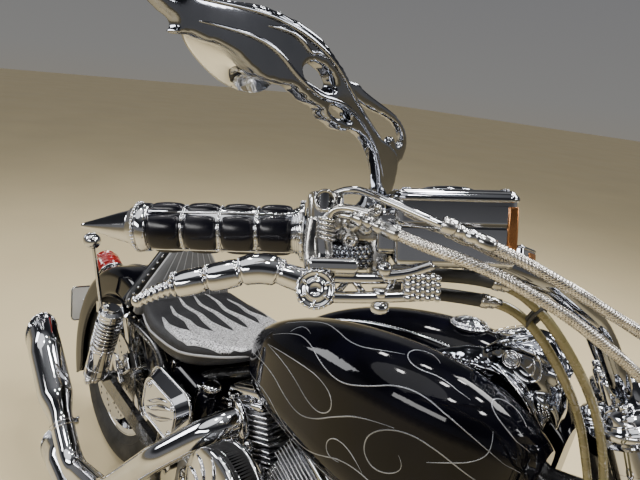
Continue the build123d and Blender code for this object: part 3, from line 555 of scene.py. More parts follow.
def braid(pts, R, n, pitch, width):
    """Flat wire bundles wound both ways around a line."""
    fr = frames_along(pts)
    out = Build()
    for way in (1, -1):
        for k in range(n):
            vs, fs = [], []
            dist = 0.0
            for j, (p, d, x, y) in enumerate(fr):
                if j:
                    dist += (p - fr[j - 1][0]).length
                a0 = way * 2 * math.pi * dist / pitch + 2 * math.pi * k / n
                weave = 0.16 * math.sin(n * a0 * way + (0 if way > 0 else math.pi))
                for off, lift in ((-0.5, -0.12), (0.0, 0.16), (0.5, -0.12)):
                    a = a0 + off * width / R
                    vs.append(p + (x * math.cos(a) + y * math.sin(a)) * (R + lift + weave))
            for j in range(len(fr) - 1):
                for m in (0, 1):
                    q = (j * 3 + m, j * 3 + m + 1, (j + 1) * 3 + m + 1, (j + 1) * 3 + m)
                    fs.append(q if way > 0 else q)
            out.add(vs, fs)
    return out


pipes, cores, braids, ferr = Build(), Build(), Build(), Build()
for route, start in ((HOSE_UPPER, 118.0), (HOSE_LOWER, 68.0)):
    line = even(nurbs([Vector(p) for p in route], 10), 2.5)
    bare, rest = split_at(line, start)
    pipes.add(*tube(bare, 2.9, 16))
    cores.add(*tube(rest[::2] + [rest[-1]], HOSE_R - 0.55, 14))
    braids.join(braid(rest, HOSE_R, 8, 21.0, 2.05))
    # crimped sockets at both ends of the braid, a hex nut behind the first
    fr = frames_along(rest)
    for i, way in ((0, 1), (len(rest) - 1, -1)):
        p, d, _x, _y = fr[i]
        d = d * way
        a = p - d * 17
        ferr.add(*lathe(a, p + d, [(0, 3.2), (1, 4.4), (5, 4.4), (5.4, 3.9), (8, 3.9), (8.4, 4.9), (10, 5.1), (13, 5.1), (13.4, 4.7), (16, 4.7), (16.4, 5.1), (24, 5.1), (27, 4.6)], 20))
        ferr.add(*lathe(a - d * 9, a, [(0, 5.2), (1, 6.0), (8, 6.0), (9, 5.2)], 6))
pipes.obj("brake_pipe_ends", CHROME, "steering", slot="chrome")
ferr.obj("brake_hose_sockets", WORN_CHROME, "steering", slot="chrome")
cores.obj("brake_hose_cores", SLEEVE, "steering", slot="braid")
braids.obj("brake_hose_braid", BRAID, "steering", slot="braid", replaces=("brake_hoses",))

cab, slv, tips = Build(), Build(), Build()
for i, route in enumerate((CABLE_A, CABLE_B)):
    line = even(nurbs([Vector(p) for p in route], 10), 3.0)
    head_, tail_ = split_at(line, 92.0 - 6 * i)
    slv.add(*tube(head_, lambda u, a, d: 5.9 + (1.6 if 2 < d < 22 else 0) - (0.8 if u > 0.93 else 0), 16))
    cab.add(*tube(tail_, 4.3, 16))
    p, d, _x, _y = frames_along(tail_)[0]
    tips.add(*lathe(p - d * 8, p + d * 8, [(0, 5.6), (2, 6.4), (7, 6.4), (7.6, 5.4), (12, 5.4), (13, 4.6), (18, 4.2)], 8))
    p, d, _x, _y = frames_along(tail_)[-1]
    tips.add(*lathe(p - d * 15, p, [(0, 3.6), (1, 4.6), (12, 5.0), (15, 5.0)], 16))
cab.obj("throttle_cable_runs", CABLE, "steering", slot="cable_sleeve", replaces=("throttle_cables",))
slv.obj("throttle_cable_sleeves", SLEEVE, "steering", slot="cable_sleeve")
tips.obj("throttle_cable_ferrules", WORN_CHROME, "steering", slot="chrome")
# a clip holds the two cables together, and a ring on the fork guides them
tie = Build()
ca, cb = V((1131, -319, 1074)), V((1127, -308, 1060))
mid = (ca + cb) / 2
td = V((26, -16, -14)).normalized()
loop_ = []
for k in range(25):
    a = 2 * math.pi * k / 24
    u = (ca - cb).normalized()
    w = td.cross(u).normalized()
    loop_.append(mid + u * (13.4 * math.cos(a)) + w * (5.6 * math.sin(a)))
for k in (-1.5, 1.5):
    tie.add(*tube([q + td * k for q in loop_], 1.5, 8, cap=False))
tie.obj("cable_tie", SLEEVE, "steering", slot="cable_sleeve")
guide = Build()
gc = ax(1071, -28, -160)
gd = AXIS_DIR
guide.add(*torus(gc, gd, 13.5, 1.7, 40, 10))
guide.add(*tube([gc + (ax(1071, 25, -106) - gc) * t for t in (0.19, 0.3, 0.5, 0.62)], 2.4, 12))
guide.obj("cable_guide_ring", CHROME, "steering", slot="chrome")

# ---- grips: chrome sleeve, rubber pads, ribbed collar and pointed cap ----
GD = -LX


def gpt(t, r=0.0, a=0.0):
    """Point at t along the grip, r from its axis, at angle a from the outboard side upwards."""
    return GRIP_IN + GD * t + (-LY * math.cos(a) + LZ * math.sin(a)) * r


def pad(t0, t1, a_mid, a_half, r0, H, nu=20, nv=26):
    vs, fs = [], []
    L, W = (t1 - t0) / 2, a_half * r0
    for i in range(nu + 1):
        for j in range(nv + 1):
            # squeezed to a rounded rectangle
            u, v = 2 * i / nu - 1, 2 * j / nv - 1
            pu, pv = u * math.sqrt(1 - 0.22 * v ** 4 * 0.9), v * math.sqrt(1 - 0.22 * u ** 4 * 0.9)
            x, y = pu * L, pv * W
            edge = min(L * (1 - abs(u)), W * (1 - abs(v)))
            s = max(0.0, min(1.0, edge / 3.6))
            h = H * math.sqrt(1 - (1 - s) ** 2) + 1.3 * (1 - u * u) * s
            vs.append(gpt((t0 + t1) / 2 + x, r0 - 0.9 + h, a_mid + y / r0))
    for i in range(nu):
        for j in range(nv):
            a = i * (nv + 1) + j
            fs.append((a, a + nv + 1, a + nv + 2, a + 1))
    return vs, fs


sleeve, pads, collar = Build(), Build(), Build()
sleeve.add(*lathe(GRIP_IN, GRIP_OUT, [(7, 14.2), (7.2, 17.2), (124, 17.2), (124.3, 14)], 56))
for k in range(4):
    t0 = 10 + 28.9 * k
    for a_mid in (-12, 108, 228):
        pads.add(*pad(t0, t0 + 26.2, math.radians(a_mid), math.radians(51), 17.6, 2.6))
    if k < 3:
        for dt in (26.9, 28.2):
            sleeve.add(*torus(gpt(t0 + dt), GD, 17.6, 0.75, 56, 8))
        for m in range(30):
            sleeve.add(*ball(gpt(t0 + 27.55, 18.2, 2 * math.pi * m / 30), 0.8, 8, 6))
for a_mid in (48, 168, 288):
    # raised chrome rail between two rows of pads
    rail = [gpt(t, 17.4, math.radians(a_mid)) for t in (9, 40, 80, 122)]
    sleeve.add(*tube(rail, 1.3, 10))
collar.add(*lathe(gpt(0), GRIP_OUT, [(0.2, 14.0), (0.2, 22.8), (1.0, 23.6), (3.4, 23.6), (4.2, 22.6), (4.3, 19.6), (5.0, 20.3), (5.6, 19.4), (6.3, 18.2), (7.0, 19.2), (7.7, 18.2), (8.3, 17.4), (8.8, 18.2), (9.4, 17.0), (9.6, 14)], 56))
collar.add(*lathe(gpt(0), GRIP_OUT, [(123.0, 15.0), (123.2, 18.4), (124.2, 19.4), (127, 19.6), (130, 19.9), (131, 19.2), (131.2, 18.0), (131.6, 18.0), (131.8, 19.2), (134.0, 19.6), (134.6, 18.0), (135.0, 17.2), (138.5, 16.2),
                                              (139.5, 14.2), (141, 13.7), (150, 11.3), (160, 8.2), (170, 5.1), (178, 2.7), (181.0, 1.6), (182, 0.5)], 56))
for m in range(40):
    collar.add(*ball(gpt(133.0, 19.5, 2 * math.pi * m / 40), 1.25, 8, 6))
for m in range(18):
    # flutes on the inner flange
    a = 2 * math.pi * m / 18
    collar.add(*tube([gpt(0.6, 23.4, a), gpt(3.8, 23.4, a)], 1.1, 8))
for side, nm in ((0, "right"), (1, "left")):
    S = (lambda b: b.mirrored()) if side else (lambda b: b)
    S(sleeve).obj(nm + "_grip_sleeve", CHROME, "steering", slot="chrome", replaces=(nm + "_grip",))
    S(pads).obj(nm + "_grip_pads", RUBBER, "steering", slot="black_paint")
    S(collar).obj(nm + "_grip_collars", CHROME, "steering", slot="chrome")

# ---- levers: broad arm, three rounded swells, beaded necks and a roped tip ----
lev_pts = [lp(11, -48, -35), lp(-8, -49, -29), lp(-27, -50, -22.5), lp(-49, -51, -28.5), lp(-71, -52, -33), lp(-96, -54, -39.5), lp(-112, -56, -48)]
lev_line = even(nurbs(lev_pts, 14), 1.0)
lev_len = sum((b - a).length for a, b in zip(lev_line, lev_line[1:]))
SWELLS = [(41, 14.5, 10.9), (66.5, 12.5, 10.2), (90, 11.5, 9.3)]     # middle, half length, radius


def lever_r(u, a, d):
    for c, h, r in SWELLS:
        if abs(d - c) < h:
            w = (d - c) / h
            return r * (1 - 0.30 * w ** 6 - 0.05 * w * w) + 0.5 * math.exp(-((abs(w) - 0.8) / 0.08) ** 2)
    if d < 27:
        flat = 0.35 * math.cos(2 * (a - 0.4))
        return 8.4 + 0.9 * math.sin(d / 27 * math.pi) + flat * 2
    if d > 101:
        t = (d - 101) / (lev_len - 101)
        return 5.6 - 1.6 * t + 0.9 * math.sin(d * 1.5 + 2 * a)
    return 6.0


lev = Build()
lev.add(*tube(lev_line, lever_r, 28))
fr = frames_along(lev_line)


def at_d(d):
    i = min(len(fr) - 1, max(0, int(round(d))))
    return fr[i]


for d in (27.5, 54.0, 78.5, 101.0):
    p, t_, x_, y_ = at_d(d)
    lev.add(*torus(p - t_ * 1.5, t_, 6.4, 1.25, 28, 8))
    lev.add(*torus(p + t_ * 1.5, t_, 6.4, 1.25, 28, 8))
    for k, (da, rr) in enumerate(((0.0, 2.7), (0.5, 2.1), (-0.5, 2.1), (1.0, 1.6))):
        up = LZ * math.cos(da) - LY * math.sin(da) * 0.9
        up = (up - t_ * up.dot(t_)).normalized()
        lev.add(*ball(p + up * 7.6 + t_ * (0.8 * k - 1.0), rr, 12, 8))
p, t_, x_, y_ = fr[-1]
lev.add(*ball(p, 4.6, 16, 10))
# boss, inner arm with its web, and the block that presses the piston
lev.add(*lathe(lp(11, -47, -48), lp(11, -47, -24), [(0, 11), (1.5, 13), (5, 13.6), (17, 13.6), (21.5, 13), (23, 11)], 40))
lev.add(*tube(even(nurbs([lp(16, -46, -29), lp(40, -45, -30), lp(66, -44, -29), lp(88, -43, -28)], 8), 3), lambda u, a, d: 4.6 - 0.8 * u, 14))
lev.add(*tube(even(nurbs([lp(16, -48, -43), lp(36, -48, -43), lp(60, -47, -42), lp(86, -46, -40)], 8), 3), lambda u, a, d: 4.2 + 0.4 * u, 14))
for x0, x1 in ((24, 34), (46, 36), (58, 66)):
    lev.add(*tube([lp(x0, -46.5, -42), lp((x0 + x1) / 2, -46.3, -36), lp(x1, -46, -30)], 2.4, 10))
lev.add(*rbox(lp(84, -47, -34), (26, 13, 19), 4.5, LROT))
lev.add(*tube(even(nurbs([lp(57, -48, -27), lp(68, -49, -26), lp(80, -51, -23), lp(91, -52, -18)], 8), 3), lambda u, a, d: 4.0 - 0.6 * u, 14))
lev.add(*ball(lp(58, -49, -22), 5.8, 24, 14))
lev.add(*lathe(lp(56, -46, -36), lp(56, -46, -56), [(0, 6), (6, 6), (7, 4.4), (10, 4.4), (11, 6.4), (16, 6.6), (18, 5)], 22))
# hammered facets on the block
for i in range(7):
    for j in range(4):
        lev.add(*ball(lp(74 + 3.4 * i, -53.0, -41 + 4.6 * j + (i % 2) * 1.5), 2.6, 10, 7, (1, 0.32, 1)))
medal = Build()
mc, mn = lp(11, -61.5, -35.5), (-LY * 0.985 + LZ * 0.17).normalized()
medal.add(*lathe(mc - mn * 4, mc + mn * 6, [(0, 11), (0.6, 13.2), (4, 13.6), (7.0, 13.2), (7.8, 12.2), (7.6, 11.0), (6.2, 10.4), (6.2, 7.6), (7.4, 7.0), (8.2, 5.2), (8.0, 3.8), (7.0, 3.2), (7.0, 0.6)], 56))
_d, mx, my = basis(mn)
for k in range(6):
    a = math.pi * k / 3 + 0.3
    e = mx * math.cos(a) + my * math.sin(a)
    f_ = mn.cross(e)
    medal.add(*tube([mc + mn * 2.5 + e * r_ + f_ * b_ for r_, b_ in ((6.6, -0.2), (8.0, 0.4), (9.4, 0.2), (10.8, -0.5))], 1.15, 10))
for k in range(24):
    a = math.pi * k / 12
    medal.add(*ball(mc + mn * 3.4 + (mx * math.cos(a) + my * math.sin(a)) * 12.9, 0.9, 8, 6))
for side, nm, node in ((0, "right", "brake_lever"), (1, "left", "clutch_lever")):
    S = (lambda b: b.mirrored()) if side else (lambda b: b)
    S(lev).obj(node + "_sculpted", CHROME, "steering", slot="chrome", replaces=(node,))
    S(medal).obj(nm + "_pivot_cap", CHROME, "steering", slot="chrome")

# ---- bar controls: banjo, ribbed neck, reservoir with domed lid, sculpted panels ----
ctl, lidb, sightb, dark = Build(), Build(), Build(), Build()
bc = lp(16, -44, 24)
bn = mn
ctl.add(*lathe(bc - bn * 9, bc + bn * 3, [(0, 6.6), (1, 8.6), (10, 8.6), (11.4, 7.4), (11.0, 5.8), (7.5, 5.4), (7.5, 0.4)], 36))
ctl.add(*torus(bc + bn * 2.2, bn, 6.9, 1.1, 36, 8))
ctl.add(*rbox(lp(16, -34, 16), (26, 16, 30), 5, LROT))
ctl.add(*rbox(lp(13, -30, -6), (20, 20, 34), 6, LROT))
for k in range(5):
    ctl.add(*torus(lp(17.5, -43, -2 + 3.3 * k), LZ + LX * 0.25, 5.2, 1.6, 28, 10))
neck = even(nurbs([lp(20, -44, -14), lp(18, -44, 0), lp(17, -45, 12), lp(22, -47, 19), lp(33, -50, 20), lp(46, -54, 16)], 10), 1.5)
ctl.add(*tube(neck, 3.1, 14))
for x_, z_, r_ in ((34, 9, 7.5), (45, 6, 6.0), (34, -3, 6.5), (52, 18, 5.0)):
    ctl.add(*lathe(lp(x_, -30, z_), lp(x_, -48, z_), [(0, r_), (12, r_), (14, r_ * 0.86), (15.5, r_ * 0.55), (15.6, r_ * 0.5), (13.5, r_ * 0.45), (13.5, 0.3)], 26))
ctl.add(*rbox(lp(40, -30, 4), (34, 18, 22), 5, LROT))
ctl.add(*rbox(lp(55, -26, -12), (16, 26, 40), 6, LROT))
ctl.add(*tube(even(nurbs([lp(8, -40, 12), lp(6, -42, -4), lp(6, -46, -18), lp(10, -48, -26)], 8), 2), lambda u, a, d: 5.0 + 1.2 * u, 16))
# pleated panel between the neck and the lever's boss
for i in range(9):
    for j in range(5):
        x0 = 16 + 3.7 * i + (j % 2) * 1.8
        dark.add(*ball(lp(x0, -41.5 - 0.25 * (4 - abs(i - 4)), -9 - 3.4 * j + 0.25 * abs(i - 4)), 2.5, 8, 6, (1.0, 0.7, 0.85)))
dark.add(*rbox(lp(31, -34, -16), (36, 16, 18), 4, LROT))
# reservoir: tapered body, copper end glass, domed lid
RZ0, RZ1 = -19.0, 25.0


def res_ring(z, grow, lean=0.0, n=10):
    """Rounded rectangle around the reservoir at height z."""
    x0, x1, y0, y1 = 64 - grow + lean * 0.4, 148 + grow, -52 - grow, (-18 if z < 8 else 12) + grow
    r = 8.0 + grow
    out = []
    for cx_, cy_, a0 in ((x1 - r, y1 - r, 0), (x0 + r, y1 - r, 90), (x0 + r, y0 + r, 180), (x1 - r, y0 + r, 270)):
        for k in range(n + 1):
            a = math.radians(a0 + 90 * k / n)
            out.append(lp(cx_ + r * math.cos(a), cy_ + r * math.sin(a), z))
    return out


def stack(rings):
    vs, fs = [], []
    n = len(rings[0])
    for r in rings:
        vs += r
    for j in range(len(rings) - 1):
        for i in range(n):
            k = (i + 1) % n
            fs.append((j * n + i, j * n + k, (j + 1) * n + k, (j + 1) * n + i))
    fs.append(tuple(range(n))[::-1])
    fs.append(tuple((len(rings) - 1) * n + i for i in range(n)))
    return vs, fs


body = Build()
body.add(*stack([res_ring(z, g, l) for z, g, l in ((-20, -3, 8), (-18, -0.6, 7), (-8, -0.4, 4), (7.9, -0.2, 1))]))
body.add(*stack([res_ring(z, g, 0) for z, g in ((8.1, -0.6), (9, -0.2), (23, 0.0), (25, 0.0), (25.4, -1.0))]))
lid_rings = []
for z, g in ((25.6, -0.6), (26.0, 1.6), (27.6, 2.2), (29.4, 1.8), (31.2, 0.0), (33.0, -3.6), (34.4, -7.9)):
    lid_rings.append(res_ring(z, g))
lidb.add(*stack(lid_rings))
dome = lathe(lp(106, -20, 33.6), lp(106, -20, 40), [(0, 20), (1.6, 19), (3.0, 15), (3.8, 9), (4.1, 1)], 48)
lidb.add(*dome)
for x_, y_ in ((72, -44), (140, -44), (72, 4), (140, 4)):
    lidb.add(*bolt(lp(x_, y_, 32.0), LZ, 3.4, 3.2))
sightb.add(*rbox(lp(148.4, -32, 4), (3.0, 30, 36), 1.4, LROT))
sightb.add(*rbox(lp(143.5, -52.4, 8), (6.5, 2.0, 30), 0.9, LROT))
# reservoir body, lid and pleated panel in the darker chrome: painted dark reflection
for side, nm in ((0, "right"), (1, "left")):
    S = (lambda b: b.mirrored()) if side else (lambda b: b)
    S(ctl).obj(nm + "_master_fittings", WORN_CHROME, "steering", slot="chrome")
    S(dark).obj(nm + "_control_panel", CHROME_PAINTED_DARK, "steering", slot="chrome")
    S(body).obj(nm + "_reservoir_body", CHROME_PAINTED_DARK, "steering", slot="chrome")
    S(lidb).obj(nm + "_reservoir_lid", CHROME_PAINTED_DARK, "steering", slot="chrome")
    S(sightb).obj(nm + "_reservoir_end_glass", SIGHT, "steering", slot="chrome")

# ---- mirrors: flame-shaped heads cut from plate, hollowed by three openings ----
MN, ME1, ME2, MO = V((0.968, -0.248, 0.0)).normalized(), V((-0.248, -0.968, 0)).normalized(), V((0, 0, 1)), V((984, -388, 1118))


def mp(e1, e2, n=0.0):
    return MO + ME1 * e1 + ME2 * e2 + MN * n


def round_off(poly, times=2):
    """Corner cutting on a closed outline."""
    for _ in range(times):
        out = []
        for i, p in enumerate(poly):
            q = poly[(i + 1) % len(poly)]
            out += [(0.75 * p[0] + 0.25 * q[0], 0.75 * p[1] + 0.25 * q[1]), (0.25 * p[0] + 0.75 * q[0], 0.25 * p[1] + 0.75 * q[1])]
        poly = out
    return poly


M_OUTER = [(226, 49), (214, 49.5), (205, 52), (209, 59), (198, 57), (190, 60), (181, 64), (169, 69), (159, 71.5), (146, 73.5), (134, 74.5), (122, 74), (115, 73), (106, 70), (94, 67), (84, 62), (70, 56), (57, 50.5), (40, 45), (23, 41.5),
           (14, 42), (2, 40), (-6, 35), (-10, 25), (-13, 13), (-12, 0), (-9, -10), (9, -10), (9, 0), (11, 8), (19, 18), (29, 27), (40, 33), (56, 37), (67, 36.5), (78, 31), (88, 33), (97, 33.5), (102, 38.5), (112, 37), (120, 39), (131, 41),
           (140, 38), (151, 36), (162, 37.5), (172, 41), (180, 41.5), (190, 39), (199, 38.5), (206, 34), (203, 42), (214, 43)]
M_TEAR = [(129, 52), (125.5, 58), (117, 61), (107, 60.5), (98, 57.5), (96.5, 52), (103, 49), (114.5, 48), (124, 48.5)]
M_TRI = [(100, 41.5), (91, 44), (80, 45), (71, 42.5), (69, 40), (83, 38.5), (94, 38)]
M_HOOK = [(88, 62), (79, 66), (67, 65.5), (52, 64.5), (36, 65), (16, 64.5), (-2, 60), (-12, 52), (-15, 42), (-11, 32), (-2, 28), (8, 32), (14, 40), (16, 47), (11, 50), (6, 46), (1, 44), (-4, 47), (-2, 52), (4, 56), (18, 59), (36, 58), (52, 56), (67, 56), (78, 56)]


def plate_mesh(outer, holes, half, lift):
    """Closed plate of an outline with holes; lift is not used."""
    bm = bmesh.new()
    loops = []
    for poly in [outer] + holes:
        vs = [bm.verts.new((p[0], p[1], 0)) for p in poly]
        loops.append([bm.edges.new((vs[i], vs[(i + 1) % len(vs)])) for i in range(len(vs))])
    bmesh.ops.triangle_fill(bm, use_beauty=True, use_dissolve=False, edges=[e for l in loops for e in l], normal=(0, 0, 1))
    g = bmesh.ops.extrude_face_region(bm, geom=list(bm.faces))
    bmesh.ops.translate(bm, vec=(0, 0, -2 * half), verts=[v for v in g["geom"] if isinstance(v, bmesh.types.BMVert)])
    bmesh.ops.translate(bm, vec=(0, 0, half), verts=bm.verts)
    bmesh.ops.recalc_face_normals(bm, faces=bm.faces)
    me = bpy.data.meshes.new("plate")
    bm.to_mesh(me)
    bm.free()
    return me


def remeshed(me, voxel, smooth=6, factor=0.6):
    """Voxel remesh and smoothing, applied; returns verts and faces."""
    o = bpy.data.objects.new("tmp", me)
    bpy.context.scene.collection.objects.link(o)
    m = o.modifiers.new("r", 'REMESH')
    m.mode = 'VOXEL'
    m.voxel_size = voxel
    m2 = o.modifiers.new("s", 'SMOOTH')
    m2.factor, m2.iterations = factor, smooth
    dg = bpy.context.evaluated_depsgraph_get()
    me2 = bpy.data.meshes.new_from_object(o.evaluated_get(dg))
    vs = [v.co.copy() for v in me2.vertices]
    fs = [tuple(p.vertices) for p in me2.polygons]
    bpy.data.objects.remove(o)
    bpy.data.meshes.remove(me2)
    return vs, fs


mir = Build()
for outer, holes, half in ((round_off(M_OUTER), [round_off(M_TEAR), round_off(M_TRI)], 5.0), (round_off(M_HOOK), [], 3.4)):
    vs, fs = remeshed(plate_mesh(outer, holes, half, None), 1.6, 5, 0.7)
    mir.add([mp(v.x, v.y, v.z * (1.0 + 0.5 * math.exp(-((v.x - 128) / 60) ** 2)) + 10 - 0.0004 * (v.x - 110) ** 2 * (1 if v.x > 110 else 0.9)) for v in vs], fs)
# round foot on the clamp
mir.add(*lathe(V((984, -388, 1100)), V((984, -388, 1118)), [(0, 9.5), (3, 11), (8, 10.5), (12, 8.6), (20, 8.0)], 32))
# bright veins along the limbs
for pts, r in (([(205, 53), (170, 66), (140, 70), (112, 68), (92, 62), (60, 49), (30, 42)], 1.7), ([(196, 46), (172, 53), (150, 54), (132, 47), (110, 43), (90, 48), (70, 47), (46, 40), (22, 28), (4, 12)], 1.7),
               ([(160, 62), (148, 66), (136, 66), (126, 62), (122, 66), (112, 66)], 1.5)):
    line = even(nurbs([mp(a, b, 14.6 + 3.0 * math.exp(-((a - 128) / 60) ** 2) - 0.0004 * (a - 110) ** 2) for a, b in pts], 10), 2)
    mir.add(*tube(line, lambda u, a, d, r=r: r * (0.25 + 0.75 * math.sin(math.pi * min(1, max(0, u))) ** 0.5), 10))
for a, b in ((213, 49), (205, 55), (198, 52), (203, 44), (196, 43), (190, 55)):
    mir.add(*ball(mp(a, b, 10 - 0.0004 * (a - 110) ** 2), 2.2, 12, 8))
glass = Build()
G_OUT = round_off([(197, 44), (188, 52), (170, 60), (150, 60), (138, 52), (134, 42), (140, 33), (150, 28), (165, 27), (180, 31), (192, 37)], 3)
vs = [mp(a, b, 3.0 - 0.0004 * (a - 110) ** 2) for a, b in G_OUT] + [mp(a, b, -0.5 - 0.0004 * (a - 110) ** 2) for a, b in G_OUT]
nG = len(G_OUT)
glass.add(vs, [tuple(range(nG)), tuple(range(nG, 2 * nG))[::-1]] + [(i, i + nG, (i + 1) % nG + nG, (i + 1) % nG) for i in range(nG)])
# mirror flames in the darker chrome: painted dark reflection
for side, nm in ((0, "right"), (1, "left")):
    S = (lambda b: b.mirrored()) if side else (lambda b: b)
    S(mir).obj(nm + "_mirror_flames", CHROME_PAINTED_DARK, "steering", slot="chrome", replaces=("mirrors",))
    S(glass).obj(nm + "_mirror_glass", MIRROR_GLASS, "steering", slot="chrome")



# ---- surfaces of the carried-over pieces, for laying trim on them ----
UNPARK = PARK.inverted()


def tree(*names):
    vs, fs = [], []
    for n_ in names:
        me = NODES[n_].data
        k = len(vs)
        vs += [v.co.copy() for v in me.vertices]
        fs += [tuple(i + k for i in p.vertices) for p in me.polygons]
    return BVHTree.FromPolygons(vs, fs)


def cast(bvh, o, d):
    """First surface from o along d, both in upright millimetres: point and outward normal, or None."""
    o, d = Vector(o), Vector(d).normalized()
    h = bvh.ray_cast(PARK @ o, (PARK.to_3x3() @ d).normalized())
    if h[0] is None:
        return None
    n = (UNPARK.to_3x3() @ h[1]).normalized()
    return UNPARK @ h[0], n


def interp(rows, x):
    """Row of values at x from rows whose first column is x."""
    if x <= rows[0][0]:
        return rows[0][1:]
    for a, b in zip(rows, rows[1:]):
        if x <= b[0]:
            t = (x - a[0]) / (b[0] - a[0])
            return tuple(p + (q - p) * t for p, q in zip(a[1:], b[1:]))
    return rows[-1][1:]


def ribbon(pts, nrm, half, lift=0.3, sink=0.15):
    """Painted line: a thin crowned strip that follows a surface."""
    vs, fs = [], []
    n = len(pts)
    for j in range(n):
        d = (pts[min(j + 1, n - 1)] - pts[max(j - 1, 0)]).normalized()
        s = d.cross(nrm[j]).normalized()
        w = half(j / (n - 1)) if callable(half) else half
        for k, l in ((-1, -sink), (-0.6, lift * 0.8), (0.6, lift * 0.8), (1, -sink)):
            vs.append(pts[j] + s * (w * k) + nrm[j] * l)
    for j in range(n - 1):
        for m in range(3):
            fs.append((j * 4 + m, j * 4 + m + 1, (j + 1) * 4 + m + 1, (j + 1) * 4 + m))
    return vs, fs


TANK_TREE = tree("fuel_tank")
#             x    width  centre height
TANK_MID = [(622, 30, 752), (690, 108, 764), (800, 148, 790), (960, 168, 812), (1110, 152, 826), (1190, 104, 830), (1222, 58, 832)]


def on_tank(x, th, side):
    """Point and normal on one tank half, th degrees up from straight outboard about the section's middle."""
    w, z = interp(TANK_MID, x)
    th = math.radians(th)
    d = Vector((0, -side * math.cos(th), math.sin(th)))
    h = cast(TANK_TREE, (x, -side * (24 + w / 2), z), d)
    if h is None:
        return None
    p, n = h
    return p, (n if n.dot(d) > 0 else -n)


# flame tongues: (x, angle) along each line, points aft and round bays forward, and the stroke's half width
STROKES = [
    ([(1204, 2), (1158, 18), (1108, 30), (1060, 27), (1026, 12), (1024, -8), (1046, -20), (1076, -16), (1088, -3), (1076, 6)], 1.1),
    ([(1206, 40), (1152, 47), (1096, 55), (1046, 54), (1000, 43), (954, 37), (906, 43), (858, 55), (806, 59), (752, 49)], 1.05),
    ([(1060, 27), (1006, 22), (962, 6), (926, -11), (888, -19), (844, -12), (798, 3), (748, 13), (700, 13)], 1.1),
    ([(752, 37), (808, 36), (862, 35), (914, 33), (948, 24), (954, 8), (930, -2), (896, 4), (862, 17), (812, 29), (752, 37)], 1.0),
    ([(1188, -26), (1136, -37), (1084, -38), (1034, -28), (992, -29), (950, -40), (904, -47), (854, -42), (802, -29), (748, -22), (698, -27)], 1.05),
    ([(1034, -28), (1004, -15), (972, -14), (958, -25), (970, -35), (992, -32)], 0.85),
    ([(1156, -52), (1094, -58), (1034, -53), (972, -57), (910, -62), (850, -58), (786, -47)], 0.95),
    ([(1128, 68), (1088, 72), (1048, 67), (1020, 74), (1022, 86), (1048, 90), (1066, 82)], 0.9),
    ([(1020, 74), (978, 68), (932, 66), (888, 73), (846, 80), (802, 77), (756, 68)], 0.95),
    ([(1206, 62), (1170, 65), (1144, 75), (1150, 88), (1176, 91), (1190, 82)], 0.9),
    ([(1112, 12), (1134, 20), (1160, 30), (1176, 46), (1166, 58)], 0.75),
    ([(846, 62), (822, 68), (800, 66), (796, 58)], 0.7),
    ([(748, 13), (722, 24), (696, 28)], 0.7),
]
for side, nm in ((1, "right"), (-1, "left")):
    pin = Build()
    for rows, half in STROKES:
        flat_line = even(nurbs([Vector((x, th * 1.6, 0)) for x, th in rows], 12), 3.0)
        pts, nrm = [], []
        for q in flat_line:
            h = on_tank(q.x, q.y / 1.6, side)
            if h:
                pts.append(h[0])
                nrm.append(h[1])
        # a few passes level the normals where the section turns quickly
        for _ in range(3):
            nrm = [(nrm[max(i - 1, 0)] + nrm[i] * 2 + nrm[min(i + 1, len(nrm) - 1)]).normalized() for i in range(len(nrm))]
        if len(pts) > 4:
            pin.add(*ribbon(pts, nrm, lambda u, h=half: h * (0.35 + 0.65 * min(1.0, 5 * u, 5 * (1 - u)))))
    pin.obj(nm + "_tank_flame_lines", PINSTRIPE, "chassis", slot="chrome")

# bead-edged chrome seam along the inner top of each half
for side, nm in ((1, "right"), (-1, "left")):
    seam = Build()
    line = []
    for i in range(112):
        x = 662 + 4 * i
        h = cast(TANK_TREE, (x, -side * (33 + 5 * math.sin(math.pi * (x - 662) / 448)), 1150), (0, 0, -1))
        if h:
            line.append(h[0] + Vector((0, 0, 0.6)))
    for _ in range(6):
        line = [line[0]] + [(a + b * 2 + c) / 4 for a, b, c in zip(line, line[1:], line[2:])] + [line[-1]]
    seam.add(*tube(line, 3.0, 12))
    for k, p in enumerate(even(line, 6.4)):
        seam.add(*ball(p + Vector((0, 0, 2.6)), 1.9 if k % 2 else 1.4, 8, 6))
    seam.obj(nm + "_tank_crest", CHROME, "chassis", slot="chrome")

# filler cap on the left half
capb = Build()
h = cast(TANK_TREE, (1004, 96, 1150), (0, 0, -1))
cp, cn = h[0], (h[1] if h[1].z > 0 else -h[1])
capb.add(*lathe(cp - cn * 6, cp + cn * 20, [(0, 30), (5.5, 33.5), (7, 34.5), (8.4, 34.2), (9, 31.5), (9.6, 29.5), (13, 29.5), (14.5, 28.4), (15.2, 26.4), (15.0, 23), (17, 21), (19.4, 16), (20.6, 9), (21, 1)], 64))
_d, u_, v_ = basis(cn)
for k in range(28):
    a = 2 * math.pi * k / 28
    e = u_ * math.cos(a) + v_ * math.sin(a)
    capb.add(*tube([cp + cn * 3.2 + e * 29.6, cp + cn * 8.2 + e * 29.4], 1.7, 8))
    capb.add(*ball(cp + cn * 1.8 + e * 33.4, 1.6, 8, 6))
for k in range(8):
    a = 2 * math.pi * k / 8
    e, f_ = u_ * math.cos(a) + v_ * math.sin(a), v_ * math.cos(a) - u_ * math.sin(a)
    capb.add(*tube([cp + cn * 11 + e * 20, cp + cn * 13.2 + e * 14 + f_ * 3, cp + cn * 14.6 + e * 8 + f_ * 1, cp + cn * 15 + e * 4], lambda u, a_, d: 1.9 - 1.1 * u, 8))
capb.obj("filler_cap", CHROME, "chassis", slot="chrome")
